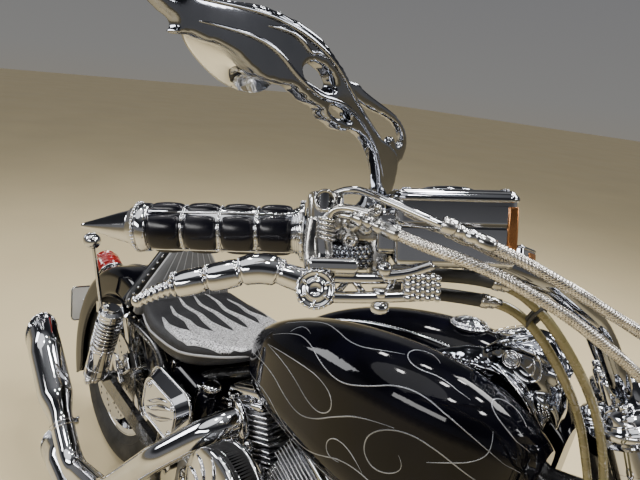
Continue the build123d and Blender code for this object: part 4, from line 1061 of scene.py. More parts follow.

# lower edge weld flange of the tank halves
flange = Build()
for side in (1, -1):
    for th in (-68,):
        line, nn = [], []
        for i in range(120):
            h = on_tank(650 + 4.6 * i, th, side)
            if h:
                line.append(h[0] + h[1] * 1.2)
                nn.append(h[1])
        for _ in range(4):
            line = [line[0]] + [(a + b * 2 + c) / 4 for a, b, c in zip(line, line[1:], line[2:])] + [line[-1]]
        flange.add(*tube(line, 2.6, 10))
flange.obj("tank_weld_flange", BLACK, "chassis", slot="black_paint")

# ---- dash hood over the tank's front: one flowing casting with brows, ribs, lenses and a spear tail ----
#         x    centre  width height  squareness
HOOD = [(1074, 948, 26, 22, 2.0), (1088, 954, 42, 36, 2.1), (1104, 964, 62, 58, 2.2), (1124, 972, 74, 76, 2.4), (1148, 974, 78, 88, 2.6), (1168, 970, 76, 90, 2.5), (1186, 956, 66, 76, 2.3), (1200, 934, 50, 54, 2.1), (1211, 912, 34, 36, 2.0)]
SPEAR = [(984, 902, 8, 8, 2), (1010, 914, 24, 22, 2), (1040, 924, 36, 42, 2.1), (1070, 930, 42, 56, 2.2), (1100, 932, 48, 64, 2.3), (1140, 926, 46, 62, 2.4), (1176, 912, 44, 52, 2.3), (1196, 896, 38, 40, 2.2)]


def oval_rings(rows, n=48):
    rings = []
    for x, zc, w, h, e in rows:
        ring = []
        for k in range(n):
            a = 2 * math.pi * k / n
            ca, sa = math.cos(a), math.sin(a)
            ring.append(Vector((x, w / 2 * abs(ca) ** (2 / e) * (1 if ca >= 0 else -1), zc + h / 2 * abs(sa) ** (2 / e) * (1 if sa >= 0 else -1))))
        rings.append(ring)
    return rings


def dense(rows, k=4):
    """Rows filled in between along a smooth line."""
    out = []
    cols = list(zip(*rows))
    n = len(rows)
    for i in range(n - 1):
        for j in range(k):
            t = j / k
            r = []
            for c in cols:
                p0, p1, p2, p3 = c[max(i - 1, 0)], c[i], c[i + 1], c[min(i + 2, n - 1)]
                r.append(0.5 * ((2 * p1) + (-p0 + p2) * t + (2 * p0 - 5 * p1 + 4 * p2 - p3) * t * t + (-p0 + 3 * p1 - 3 * p2 + p3) * t ** 3))
            out.append(tuple(r))
    out.append(tuple(rows[-1]))
    return out


def fuse(build, voxel, smooth=5, factor=0.6):
    me = bpy.data.meshes.new("fuse")
    me.from_pydata([tuple(v) for v in build.v], [], build.f)
    me.validate()
    bm = bmesh.new()
    bm.from_mesh(me)
    bmesh.ops.triangulate(bm, faces=bm.faces)
    bm.to_mesh(me)
    bm.free()
    return remeshed(me, voxel, smooth, factor)


hood = Build()
hood.add(*stack(oval_rings(dense(HOOD))))
hood.add(*stack(oval_rings(dense(SPEAR))))
for s in (1, -1):
    # brow from the tail round the top to the front, and a jaw line below
    hood.add(*tube(even(nurbs([V((1082, s * 16, 962)), V((1100, s * 31, 984)), V((1124, s * 30, 1004)), V((1146, s * 20, 1016)), V((1166, s * 12, 1016)), V((1184, s * 8, 1000)), V((1196, s * 6, 974))], 10), 3), lambda u, a, d: 3.0 + 3.4 * math.sin(math.pi * min(1, u * 1.1)), 14))
    hood.add(*tube(even(nurbs([V((1104, s * 30, 950)), V((1128, s * 38, 950)), V((1152, s * 40, 944)), V((1170, s * 38, 930)), V((1184, s * 32, 912)), V((1198, s * 24, 892))], 10), 3), lambda u, a, d: 2.6 + 3.6 * math.sin(math.pi * min(1, 0.1 + u * 0.9)), 14))
    # cheeks and a swept horn over each lens
    hood.add(*ball(V((1186, s * 22, 976)), 15, 24, 14, (0.9, 0.75, 1.1)))
    hood.add(*ball(V((1181, s * 27, 936)), 17, 24, 14, (1.0, 0.7, 1.05)))
    hood.add(*ball(V((1132, s * 34, 978)), 13, 24, 14, (1.1, 0.7, 1.0)))
    hood.add(*tube(even(nurbs([V((1112, s * 34, 986)), V((1130, s * 41, 996)), V((1150, s * 40, 1000)), V((1172, s * 31, 996)), V((1190, s * 20, 984))], 10), 3), lambda u, a, d: 1.8 + 3.4 * math.sin(math.pi * u), 12))
    for i in range(4):
        # overlapping scallops towards the tail
        hood.add(*ball(V((1098 - 17 * i, s * (24 - 2.6 * i), 942 - 6 * i)), 13 - 1.6 * i, 20, 12, (1.3, 0.62, 0.9)))
hv, hf = fuse(hood, 2.1, 5, 0.6)
for i, p in enumerate(hv):
    # soft hammered folds
    w = 0.9 * math.sin(p.x * 0.16 + p.z * 0.11) * math.sin(p.z * 0.19 - p.x * 0.05)
    q = Vector((0, p.y, (p.z - (950 if p.x > 1090 else 925))))
    if q.length > 1:
        hv[i] = p + q.normalized() * w * 0.55
hd = Build()
hd.add(hv, hf)
# hood in the darker chrome: painted dark reflection
hd.obj("dash_hood", CHROME_PAINTED_DARK, "chassis", slot="chrome", replaces=("tank_console",))

HB = BVHTree.FromPolygons(hv, hf)


def on_hood(x, z, s, lift=0.0):
    h = HB.ray_cast(Vector((x, s * 90, z)), Vector((0, -s, 0)))
    if h[0] is None:
        return Vector((x, s * 30, z)), Vector((0, s, 0))
    n = h[1] if h[1].y * s > 0 else -h[1]
    return h[0] + n * lift, n


orn, lens, dial = Build(), Build(), Build()
for s in (1, -1):
    # raised V ribs round the cheek
    for rows, r in (([(1138, 962), (1150, 956), (1164, 956), (1174, 966), (1172, 982), (1164, 996), (1154, 1003)], 2.1), ([(1146, 968), (1156, 963), (1164, 968), (1165, 980), (1158, 992)], 1.8), ([(1153, 975), (1159, 974), (1158, 984)], 1.5),
                    ([(1112, 958), (1128, 952), (1150, 944), (1168, 930), (1180, 916)], 1.9), ([(1064, 934), (1086, 938), (1106, 944), (1122, 948)], 1.7), ([(1090, 918), (1116, 922), (1142, 918), (1164, 908)], 1.8),
                    ([(1176, 1000), (1190, 984), (1199, 962), (1203, 940)], 1.7)):
        line = []
        for q in even(nurbs([V((x, 0, z)) for x, z in rows], 10), 2.0):
            line.append(on_hood(q.x, q.z, s, 0.7)[0])
        for _ in range(3):
            line = [line[0]] + [(a + b * 2 + c) / 4 for a, b, c in zip(line, line[1:], line[2:])] + [line[-1]]
        orn.add(*tube(line, lambda u, a, d, r=r: r * (0.4 + 0.6 * min(1, 6 * u, 6 * (1 - u))), 10))
    # round lens with its bezel
    p, n = on_hood(1132, 978, s, 0.6)
    orn.add(*torus(p, n, 9.4, 1.7, 40, 10))
    orn.add(*torus(p + n * 0.6, n, 12.6, 0.9, 40, 8))
    lens.add(*lathe(p - n * 2, p + n * 5, [(0, 8.6), (2.4, 8.4), (4.4, 6.9), (5.6, 4.4), (6.1, 1.0)], 36))
    # bead clusters below the cheek and along the brow
    for i in range(3):
        for j in range(5):
            q, n = on_hood(1193 - 4.6 * i + 1.2 * j, 934 - 4.4 * j, s, 0.5)
            orn.add(*ball(q, 2.0 - 0.15 * j, 10, 7))
    for k in range(13):
        t = k / 12
        q, n = on_hood(1108 + 62 * t, 992 + 18 * math.sin(math.pi * t * 0.8), s, 0.3)
        orn.add(*ball(q, 1.7, 10, 7))
    for k in range(9):
        q, n = on_hood(1030 + 8.6 * k, 926 + 1.2 * k, s, 0.3)
        orn.add(*ball(q, 1.3 + 0.06 * k, 8, 6))
# speedometer facing the rider on the hood's back slope
gp, gn = V((1110, 0, 1004)), V((-0.52, 0, 0.854)).normalized()
orn.add(*lathe(gp - gn * 16, gp + gn * 6, [(0, 22), (6, 27), (14, 29.5), (19, 30), (21.4, 28.4), (21.8, 26.4), (20.4, 25.6), (18.6, 25.4)], 64))
for k in range(36):
    a = 2 * math.pi * k / 36
    _d, u_, v_ = basis(gn)
    orn.add(*ball(gp + gn * 3.4 + (u_ * math.cos(a) + v_ * math.sin(a)) * 30.0, 1.5, 8, 6))
dial.add(*lathe(gp - gn * 2, gp + gn * 3.2, [(0, 25.5), (4.4, 25.5), (4.6, 24.5)], 64))
marks = Build()
_d, u_, v_ = basis(gn)
for k in range(25):
    a = math.radians(225 - 270 * k / 24)
    e = v_ * math.sin(a) + u_ * math.cos(a)
    r0 = 19.5 if k % 4 else 17.0
    marks.add(*tube([gp + gn * 2.9 + e * r0, gp + gn * 2.9 + e * 23], 0.5 if k % 4 else 0.8, 6))
marks.add(*tube([gp + gn * 3.4 - v_ * 4, gp + gn * 3.4 + (v_ * math.sin(math.radians(222)) + u_ * math.cos(math.radians(222))) * 17], 0.8, 6))
marks.add(*lathe(gp + gn * 2.2, gp + gn * 5, [(0, 3.2), (2.0, 3.0), (2.8, 1.2)], 20))
lens.add(*lathe(gp + gn * 3.8, gp + gn * 6, [(0, 25.6), (1.2, 25.2), (2.0, 20), (2.5, 10), (2.6, 1)], 64))
orn.obj("dash_trim", CHROME, "chassis", slot="chrome")
lens.obj("dash_lenses", GLASS, "chassis", slot="chrome")
dial.obj("speedometer_dial", SLEEVE, "chassis", slot="black_paint")
marks.obj("speedometer_marks", PLATE, "chassis", slot="plate_white")



# ---- seat and back pad: swollen cushions with a flame-shaped glitter inlay, seams and piping ----
SEAT = [(236, 668, 300, 70, 30), (330, 655, 338, 84, 40), (470, 664, 326, 84, 40), (560, 686, 220, 58, 27), (612, 704, 100, 34, 16)]
PAD = [(642, 212, 38, 312, 16), (690, 210, 40, 296, 18), (776, 202, 33, 188, 15), (862, 194, 26, 74, 12)]


def rrect(cx_, cz_, w, h, r, n=9):
    """Rounded rectangle as (across, up) pairs."""
    r = min(r, w / 2 - 0.5, h / 2 - 0.5)
    out = []
    for sx, sz, a0 in ((1, 1, 0), (-1, 1, 90), (-1, -1, 180), (1, -1, 270)):
        for k in range(n + 1):
            a = math.radians(a0 + 90 * k / n)
            out.append((cx_ + sx * (w / 2 - r) + r * math.cos(a), cz_ + sz * (h / 2 - r) + r * math.sin(a)))
    return out


def puffed(ob, cap, pinned, pressure=4.0):
    """Swells a cushion as simulated cloth; no point moves further than cap, in metres."""
    me = ob.data
    rest = [v.co.copy() for v in me.vertices]
    vg = ob.vertex_groups.new(name="held")
    for i, co in enumerate(rest):
        w = pinned(UNPARK @ co)
        if w > 0:
            vg.add([i], w, 'REPLACE')
    m = ob.modifiers.new("swell", 'CLOTH')
    st = m.settings
    st.quality = 5
    st.mass = 0.25
    st.tension_stiffness = st.compression_stiffness = 12
    st.shear_stiffness = 6
    st.bending_stiffness = 0.4
    st.use_pressure = True
    st.uniform_pressure_force = pressure
    st.effector_weights.gravity = 0
    st.vertex_group_mass = "held"
    sc = bpy.context.scene
    for f in range(1, 21):
        sc.frame_set(f)
    ev = ob.evaluated_get(bpy.context.evaluated_depsgraph_get())
    new = [v.co.copy() for v in ev.data.vertices]
    ob.modifiers.remove(m)
    sc.frame_set(1)
    for v, a, b in zip(me.vertices, rest, new):
        d = b - a
        L = d.length
        if L > 1e-9:
            v.co = a + d * (cap * math.tanh(L / cap) / L)
    me.update()


def relaxed(ob, smooth=1):
    m0 = ob.modifiers.new("soft", 'SMOOTH')
    m0.factor, m0.iterations = 0.5, smooth
    me = bpy.data.meshes.new_from_object(ob.evaluated_get(bpy.context.evaluated_depsgraph_get()))
    ob.modifiers.clear()
    old = ob.data
    ob.data = me
    bpy.data.meshes.remove(old)


def mesh_tree(ob):
    return BVHTree.FromPolygons([v.co.copy() for v in ob.data.vertices], [tuple(p.vertices) for p in ob.data.polygons])


# inlay: tongues from tip (rear) to root (front) as x, y, half width; the dark lobes lie between them
TONGUES = [[(246, 3, 1.4), (300, -7, 5), (360, 5, 7.5), (420, 1, 10.5), (470, 0, 16), (506, 0, 30), (550, 0, 44), (590, 0, 40)]]
for s in (1, -1):
    TONGUES.append([(244, s * 44, 1.4), (296, s * 53, 5), (356, s * 43, 7.5), (414, s * 53, 11), (464, s * 51, 18), (504, s * 50, 31), (550, s * 44, 42)])
    TONGUES.append([(286, s * 90, 1.4), (336, s * 103, 5), (388, s * 96, 8), (428, s * 105, 12), (460, s * 102, 20), (492, s * 94, 31), (534, s * 80, 36)])
    TONGUES.append([(340, s * 139, 1.4), (384, s * 148, 5), (420, s * 145, 9), (448, s * 138, 15), (478, s * 124, 24), (512, s * 104, 32)])


def inlay(x, y):
    """Above zero where the glitter lies, below on the dark leather; roughly millimetres from the edge."""
    best = -60.0
    for t in TONGUES:
        if x < t[0][0] - 60:
            continue
        for (x0, y0, w0), (x1, y1, w1) in zip(t, t[1:]):
            if x < x0 - 45 or x > x1 + 45:
                continue
            dx, dy = x1 - x0, y1 - y0
            u = max(0.0, min(1.0, ((x - x0) * dx + (y - y0) * dy) / (dx * dx + dy * dy)))
            g = w0 + (w1 - w0) * u - math.hypot(x - x0 - dx * u, y - y0 - dy * u)
            if g > best:
                best = g
    edge = interp([(r[0], r[2] / 2) for r in SEAT], x)[0] - 9 - abs(y)
    return min(best, edge, (598 - x) * 0.9)


rings = []
for x, zc, w, h, r in dense([(x, zc, w - 10, h - 10, r - 3) for x, zc, w, h, r in SEAT], 3):
    x = 243 + (x - 236) * (362 / 376)
    crown = 5.0 * math.sin(math.pi * min(1, max(0, (x - 236) / 376)))
    rings.append([Vector((x, y, z + (crown * (1 - (2 * y / w) ** 2) if z > zc else 0))) for y, z in rrect(0, zc, w, h, r)])
sb = Build()
sb.add(*stack(rings))
vs, fs = fuse(sb, 4.4, 3, 0.5)
seat = new_object("rider_seat_cushion", vs, fs, LEATHER, "chassis", slot="seat_leather", replaces=("rider_seat",))


def seat_hold(p):
    zc, w, h, r = interp(SEAT, p.x)
    if p.z < zc - h / 2 + 12:
        return 1.0                                   # base pan
    if p.z > zc and abs(p.y) < w / 2 - 12:
        return 1.0 if inlay(p.x, p.y) > -1.5 else 0.0
    return 0.9 if abs(p.z - zc) < 4.5 else 0.0       # welt round the widest line


puffed(seat, 0.014, seat_hold)
relaxed(seat, 1)
SEAT_TREE = mesh_tree(seat)


def clip_grid(fn, x0, x1, y0, y1, step):
    """Flat cells where fn is above zero, cut cleanly along its zero line."""
    nx, ny = int(round((x1 - x0) / step)), int(round((y1 - y0) / step))
    val = [[fn(x0 + i * step, y0 + j * step) for j in range(ny + 1)] for i in range(nx + 1)]
    pts, index, faces = [], {}, []

    def vert(key, p):
        if key not in index:
            index[key] = len(pts)
            pts.append(p)
        return index[key]

    for i in range(nx):
        for j in range(ny):
            ring = [(i, j), (i + 1, j), (i + 1, j + 1), (i, j + 1)]
            if all(val[a][b] <= 0 for a, b in ring):
                continue
            poly = []
            for (a, b), (c, d) in zip(ring, ring[1:] + ring[:1]):
                va, vc = val[a][b], val[c][d]
                if va > 0:
                    poly.append(vert((a, b), (x0 + a * step, y0 + b * step)))
                if (va > 0) != (vc > 0):
                    t = va / (va - vc)
                    k = ((a, b), (c, d)) if (a, b) < (c, d) else ((c, d), (a, b))
                    poly.append(vert(k, (x0 + (a + (c - a) * t) * step, y0 + (b + (d - b) * t) * step)))
            if len(poly) > 2:
                faces.append(tuple(poly))
    return pts, faces


def boundary_loops(pts, faces):
    count = {}
    for f in faces:
        for a, b in zip(f, f[1:] + f[:1]):
            count[(a, b)] = count.get((a, b), 0) + 1
    nxt = {}
    for a, b in count:
        if (b, a) not in count:
            nxt[a] = b
    out = []
    while nxt:
        a = next(iter(nxt))
        loop = [a]
        while loop[-1] in nxt:
            loop.append(nxt.pop(loop[-1]))
            if loop[-1] == loop[0]:
                break
        if len(loop) > 8:
            out.append(loop)
    return out


gp_, gf_ = clip_grid(inlay, 240, 602, -160, 160, 3.4)
glit = Build()
lifted = []
for x, y in gp_:
    h = cast(SEAT_TREE, (x, y, 820), (0, 0, -1))
    lifted.append((h[0] + (h[1] if h[1].z > 0 else -h[1]) * 0.9) if h else Vector((x, y, 700)))
glit.add(lifted, gf_)
glit.obj("seat_flame_inlay", GLITTER, "chassis", slot="seat_leather")
stitch = Build()
for loop in boundary_loops(gp_, gf_):
    line = [lifted[i] for i in loop]
    for _ in range(3):
        line = [line[0]] + [(a + b * 2 + c) / 4 for a, b, c in zip(line, line[1:], line[2:])] + [line[-1]]
    stitch.add(*tube(even(line, 4.0), 0.95, 6, cap=False))
stitch.obj("seat_inlay_cording", PIPING, "chassis", slot="seat_leather")

welt = []
for x in range(252, 592, 8):
    h = cast(SEAT_TREE, (x, -300, interp(SEAT, x)[0]), (0, 1, 0))
    welt.append(h[0] if h else None)
for y in range(-42, 43, 7):
    h = cast(SEAT_TREE, (720, y, 703), (-1, 0, 0))
    welt.append(h[0] if h else None)
for x in range(588, 248, -8):
    h = cast(SEAT_TREE, (x, 300, interp(SEAT, x)[0]), (0, -1, 0))
    welt.append(h[0] if h else None)
for y in range(136, -137, -8):
    h = cast(SEAT_TREE, (140, y, 668), (1, 0, 0))
    welt.append(h[0] if h else None)
welt = [p for p in welt if p is not None]
for _ in range(5):
    n = len(welt)
    welt = [(welt[i - 1] + welt[i] * 2 + welt[(i + 1) % n]) / 4 for i in range(n)]
wl = Build()
wl.add(*tube(even(welt + [welt[0]], 5.0), 3.3, 10, cap=False))
wl.obj("seat_welt", PIPING, "chassis", slot="seat_leather")

# back pad with upright channels that draw together towards the top
rows = dense(PAD, 4)
vs, fs = [], []
rings = []
for z, x, dx, dy, r in rows:
    t = (z - 642) / 220
    rings.append([Vector((px, py, 646 + t * 211)) for py, px in rrect(0, x, dy - 8, dx - 8, r - 3)])
pb_ = Build()
pb_.add(*stack(rings))
vs, fs = fuse(pb_, 3.4, 3, 0.5)
backpad = new_object("seat_back_cushion", vs, fs, GREY_LEATHER, "chassis", slot="seat_leather", replaces=("seat_back_pad",))
PADR = [(z, x, dx, dy) for z, x, dx, dy, r in PAD]
CHANNELS = (-0.72, -0.48, -0.24, 0.0, 0.24, 0.48, 0.72)


def pad_hold(p):
    x, dx, dy = interp(PADR, p.z)
    if p.x < x - dx / 2 + 8:
        return 1.0
    if any(abs(p.y - f * dy / 2) < 2.4 for f in CHANNELS):
        return 1.0
    return 0.9 if abs(p.x - x) < 3 and (abs(p.y) > dy / 2 - 8 or p.z > 850) else 0.0


puffed(backpad, 0.010, pad_hold)
relaxed(backpad, 1)
PAD_TREE = mesh_tree(backpad)
cord_b = Build()
for f in CHANNELS:
    line = []
    for k in range(40):
        z = 656 + 5.0 * k
        if z > 850:
            break
        x, dx, dy = interp(PADR, z)
        h = cast(PAD_TREE, (x + 120, f * dy / 2, z), (-1, 0, 0))
        if h:
            line.append(h[0] + Vector((0.3, 0, 0)))
    if len(line) > 4:
        cord_b.add(*tube(line, 0.9, 6))
edge_ = []
for z in range(652, 848, 6):
    x, dx, dy = interp(PADR, z)
    h = cast(PAD_TREE, (x, -260, z), (0, 1, 0))
    if h:
        edge_.append(h[0])
for y in range(-30, 31, 6):
    h = cast(PAD_TREE, (194, y, 960), (0, 0, -1))
    if h:
        edge_.append(h[0])
for z in range(846, 650, -6):
    x, dx, dy = interp(PADR, z)
    h = cast(PAD_TREE, (x, 260, z), (0, -1, 0))
    if h:
        edge_.append(h[0])
for _ in range(5):
    edge_ = [edge_[0]] + [(a + b * 2 + c) / 4 for a, b, c in zip(edge_, edge_[1:], edge_[2:])] + [edge_[-1]]
cord_b.add(*tube(even(edge_, 5), 3.0, 10))
cord_b.obj("back_cushion_welt", PIPING, "chassis", slot="seat_leather")



# ---- engine: fins, rocker covers, pushrod tubes, covers and their bolts ----
ENG = V((770, 0, 330))
Rx = {"rear": -24.0, "front": 24.0}
fins, rock, rods_, nuts = Build(), Build(), Build(), Build()
for nm, deg in Rx.items():
    R = Matrix.Rotation(math.radians(deg), 3, 'Y')
    up, side_x = R @ V((0, 0, 1)), R @ V((1, 0, 0))
    for k in range(13):
        w = 184 - 0.5 * k if k not in (0, 12) else 168
        fins.add(*rbox(ENG + up * (96 + 11.2 * k), (w - 10, 180 if k not in (0, 12) else 170, 3.4), 1.4, R, 2))
    for k in range(6):
        fins.add(*rbox(ENG + up * (240 + 10.6 * k), (190 - 1.5 * k, 200 - 1.5 * k, 3.6), 1.5, R, 2))
    # vertical fin bridges round the plug side
    for dy in (-60, -30, 30, 60):
        fins.add(*rbox(ENG + up * 268 + V((0, dy, 0)) + side_x * (84 if nm == "front" else -84), (14, 3.2, 54), 1.2, R, 2))
    # two-step rocker cover with a crowned lid
    rock.add(*rbox(ENG + up * 309, (152, 192, 18), 7, R, 3))
    rock.add(*rbox(ENG + up * 330, (124, 166, 30), 11, R, 4))
    rock.add(*rbox(ENG + up * 344, (92, 128, 8), 3.6, R, 3))
    for dy in (-84, -50, -16, 16, 50, 84):
        # short flutes down the lid's sides
        for s in (1, -1):
            if abs(dy) < 60:
                rock.add(*tube([ENG + up * 318 + side_x * (s * 62.5) + V((0, dy, 0)), ENG + up * 338 + side_x * (s * 60.5) + V((0, dy, 0))], 2.6, 8))
    for dx in (-68, 68):
        for dy in (-72, 0, 72):
            nuts.add(*bolt(ENG + up * 317 + side_x * dx + V((0, dy, 0)), up, 5.4, 9))
    for dx in (-36, 36):
        for dy in (-88, 88):
            nuts.add(*bolt(ENG + up * 317 + side_x * dx + V((0, dy, 0)), up, 5.4, 9))
    for dx in (-36, 36):
        nuts.add(*bolt(ENG + up * 346 + side_x * dx, up, 5.5, 6))
    # pushrod tubes rise from the cam chest to the head, a pair for each cylinder
    for off, foot in ((-24, 0), (24, 1)):
        fx = 770 + (-1 if nm == "rear" else 1) * (26 + 30 * (foot if nm == "front" else 1 - foot))
        a = V((fx, -128, 404))
        b = ENG + up * 236 + side_x * off + V((0, -94, 0))
        L = (b - a).length
        rods_.add(*lathe(a - (b - a).normalized() * 10, b, [(0, 15), (8, 15), (10, 12.5), (20, 12.5), (22, 9.5), (L * 0.48, 9.5), (L * 0.48 + 2, 12.2), (L * 0.48 + 16, 12.2), (L * 0.48 + 18, 9.0), (L - 8, 9.0), (L - 6, 13), (L + 10, 14)], 28))
        for t in (0.53, 0.56, 0.59):
            rods_.add(*torus(a.lerp(b, t), b - a, 11.6, 1.5, 28, 8))
    # plug, boot and its lead
    pp = ENG + up * 262 + side_x * (88 if nm == "front" else -88) + V((0, -34, 0))
    dd_ = side_x * (1 if nm == "front" else -1)
    rods_.add(*lathe(pp, pp + dd_ * 30, [(0, 9), (6, 9), (6.5, 7), (16, 7), (17, 5), (26, 5)], 12))
fins.obj("cylinder_fins", POLISHED, "chassis", slot="engine_alloy")
rock.obj("rocker_covers", CHROME, "chassis", slot="chrome")
rods_.obj("pushrod_tubes", CHROME, "chassis", slot="chrome")
nuts.obj("rocker_cover_bolts", WORN_CHROME, "chassis", slot="chrome")

leads = Build()
for nm, deg in Rx.items():
    R = Matrix.Rotation(math.radians(deg), 3, 'Y')
    up, side_x = R @ V((0, 0, 1)), R @ V((1, 0, 0))
    s = 1 if nm == "front" else -1
    pp = ENG + up * 262 + side_x * (s * 114) + V((0, -34, 0))
    leads.add(*tube(even(nurbs([pp, pp + side_x * s * 14 + V((0, 6, 10)), V((770 + s * 120, -10, 650)), V((770 + s * 60, 6, 640)), V((770 + s * 22, 0, 560))], 10), 4), lambda u, a, d: 7.5 if d < 26 else 4.2, 12))
leads.obj("spark_plug_leads", SLEEVE, "chassis", slot="cable_sleeve")

# cam chest: lobed cover with a fluted centre, ring of bolts and beaded rim
cam_, cbolt = Build(), Build()
cc = V((770, -166, 300))
cam_.add(*torus(cc + V((0, 26, 0)), (0, 1, 0), 104.5, 2.4, 72, 10))
cam_.add(*torus(cc + V((0, 2, 0)), (0, 1, 0), 60, 2.6, 60, 10))
cam_.add(*lathe(cc + V((0, 4, 0)), cc + V((0, -16, 0)), [(0, 46), (4, 45), (8, 40), (10, 36), (11, 30), (10, 27), (12, 22), (15, 15), (17, 8), (18, 1)], 64))
for k in range(12):
    a = 2 * math.pi * k / 12
    e, f_ = V((math.cos(a), 0, math.sin(a))), V((-math.sin(a), 0, math.cos(a)))
    cam_.add(*tube(even(nurbs([cc + e * 60 + V((0, 2, 0)), cc + e * 74 + f_ * 9 + V((0, 5, 0)), cc + e * 86 + f_ * 6 + V((0, 13, 0)), cc + e * 98 + V((0, 25, 0))], 8), 3), lambda u, a_, d: 4.2 - 2.2 * u, 10))
    cbolt.add(*ball(cc + e * 41 + V((0, -4, 0)), 2.8, 10, 7))
for k in range(7):
    a = 2 * math.pi * k / 7 + 0.3
    e = V((math.cos(a), 0, math.sin(a)))
    cbolt.add(*bolt(cc + e * 92 + V((0, 12, 0)), (0, -1, 0), 6.5, 11))
cam_.obj("cam_cover_relief", CHROME, "chassis", slot="chrome")
cbolt.obj("cam_cover_bolts", WORN_CHROME, "chassis", slot="chrome")

# air cleaner: pleated element behind a domed cover with swept ribs
ac, pleat = Build(), Build()
a0 = V((745, -150, 500))
n_ = 180
vs, fs = [], []
for j, y in enumerate((-158, -206)):
    for i in range(n_):
        a = 2 * math.pi * i / n_
        r = 93.4 if i % 2 else 90.2
        vs.append(V((745 + r * math.cos(a), y, 500 + r * math.sin(a))))
for i in range(n_):
    k = (i + 1) % n_
    fs.append((i, k, n_ + k, n_ + i))
pleat.add(vs, fs)
ac.add(*lathe(V((745, -204, 500)), V((745, -240, 500)), [(0, 90), (1, 95.5), (4, 96.8), (8, 96), (11, 92.5), (14, 84), (18, 70), (21.5, 52), (23.5, 34), (24, 30), (27, 28), (29, 22), (30.4, 12), (30.8, 1)], 84))
ac.add(*lathe(V((745, -148, 500)), V((745, -160, 500)), [(0, 88), (1, 95), (8, 95.6), (11, 93), (12, 88)], 72))
for k in range(10):
    a = 2 * math.pi * k / 10
    pts = []
    for m in range(12):
        t = m / 11
        r = 32 + 56 * t
        b = a + 0.5 * t * t
        # follows the dome's own profile
        y = -204 - interp([(28, 25), (34, 23.5), (52, 21.5), (70, 18), (84, 14), (92.5, 11), (96, 8)], r)[0] - 0.6
        pts.append(V((745 + r * math.cos(b), y, 500 + r * math.sin(b))))
    ac.add(*tube(pts, lambda u, a_, d: 1.4 + 2.4 * math.sin(math.pi * min(1, 0.12 + u * 0.88)), 10))
for k in range(3):
    a = 2 * math.pi * k / 3 + math.pi / 2
    ac.add(*bolt(V((745 + 21 * math.cos(a), -233, 500 + 21 * math.sin(a))), (0, -1, 0), 4.2, 5))
ac.obj("air_cleaner_cover", CHROME, "chassis", slot="chrome")
pleat.obj("air_cleaner_element", SLEEVE, "chassis", slot="black_paint")

# crankcase: ribs, parting flange with bolts, filter
cr_ = Build()
for side in (1, -1):
    for k in range(14):
        x = 600 + 26 * k
        cr_.add(*bolt(V((x, side * 112, 190 if k % 2 else 204)), (0, side, 0), 4.6, 7))
    for k in range(5):
        cr_.add(*rbox((908 + 9 * k, side * 108, 260), (3.4, 12, 120 - 8 * k), 1.4, None, 2))
    for x in (478, 520, 562):
        cr_.add(*bolt(V((x, side * 100, 214)), (0, side, 0), 5, 8))
        cr_.add(*bolt(V((x, side * 100, 372)), (0, side, 0), 5, 8))
for k in range(9):
    cr_.add(*rbox((958 + 3.0, 0, 200 + 19 * k), (10, 196, 3.6), 1.5, None, 2))
cr_.add(*rbox((528, 0, 392), (118, 170, 8), 3.5, None, 3))
for dx in (-46, 46):
    for dy in (-74, 0, 74):
        cr_.add(*bolt(V((528 + dx, dy, 395)), (0, 0, 1), 5, 6))
cr_.obj("crankcase_ribs_and_bolts", ALLOY, "chassis", slot="engine_alloy")
# gearbox door, lifter blocks, starter, inspection plugs, oil lines and sump fins
gb, gbolt, gpol, lines_ = Build(), Build(), Build(), Build()
door = V((527, -100, 292))
gb.add(*rbox(door, (122, 12, 176), 5, None, 4))
gb.add(*rbox(door + V((0, -6, 0)), (98, 6, 150), 2.8, None, 3))
for p0 in rrect(527, 292, 110, 164, 14, 8)[::4]:
    gbolt.add(*bolt(V((p0[0], -105.6, p0[1])), (0, -1, 0), 4.6, 6))
gpol.add(*lathe(V((527, -106, 326)), V((527, -128, 326)), [(0, 37), (4, 37), (6, 34), (9, 33), (12, 28), (14, 20), (14.6, 12), (17, 11), (19, 6), (19.4, 1)], 48))
gpol.add(*lathe(V((527, -106, 240)), V((527, -120, 240)), [(0, 22), (4, 22), (6, 19), (8, 14), (8.4, 1)], 36))
for k in range(6):
    a = 2 * math.pi * k / 6 + 0.4
    gbolt.add(*bolt(V((527 + 31 * math.cos(a), -111, 326 + 31 * math.sin(a))), (0, -1, 0), 3.6, 5))
for k in range(5):
    gb.add(*rbox((527 - 40 + 20 * k, -109.5, 278), (3, 5, 34), 1.4, None, 2))
for x in (722, 818):
    gpol.add(*rbox((x, -126, 398), (70, 44, 20), 6, None, 4))
    for dx in (-27, 27):
        for dy in (-14, 14):
            gbolt.add(*bolt(V((x + dx, -126 + dy, 407)), (0, 0, 1), 4.2, 6))
gb.add(*rbox((772, -112, 398), (210, 24, 8), 3.5, None, 3))
# starter: two-step drum along the case with a solenoid above
gpol.add(*lathe(V((612, -124, 222)), V((664, -124, 222)), [(0, 10), (1, 21), (4, 25), (16, 25), (18, 27), (46, 27), (50, 24), (52, 8)], 40))
gpol.add(*lathe(V((606, -122, 268)), V((656, -122, 268)), [(0, 8), (1, 15), (4, 17), (42, 17), (46, 14), (48, 6)], 32))
for z, n_ in ((222, 3), (268, 2)):
    for k in range(n_):
        a = 2 * math.pi * k / n_
        gbolt.add(*bolt(V((612, -124 + 14 * math.cos(a) * (1 if n_ == 3 else 0.6), z + 14 * math.sin(a))), (-1, 0, 0), 3.2, 4))
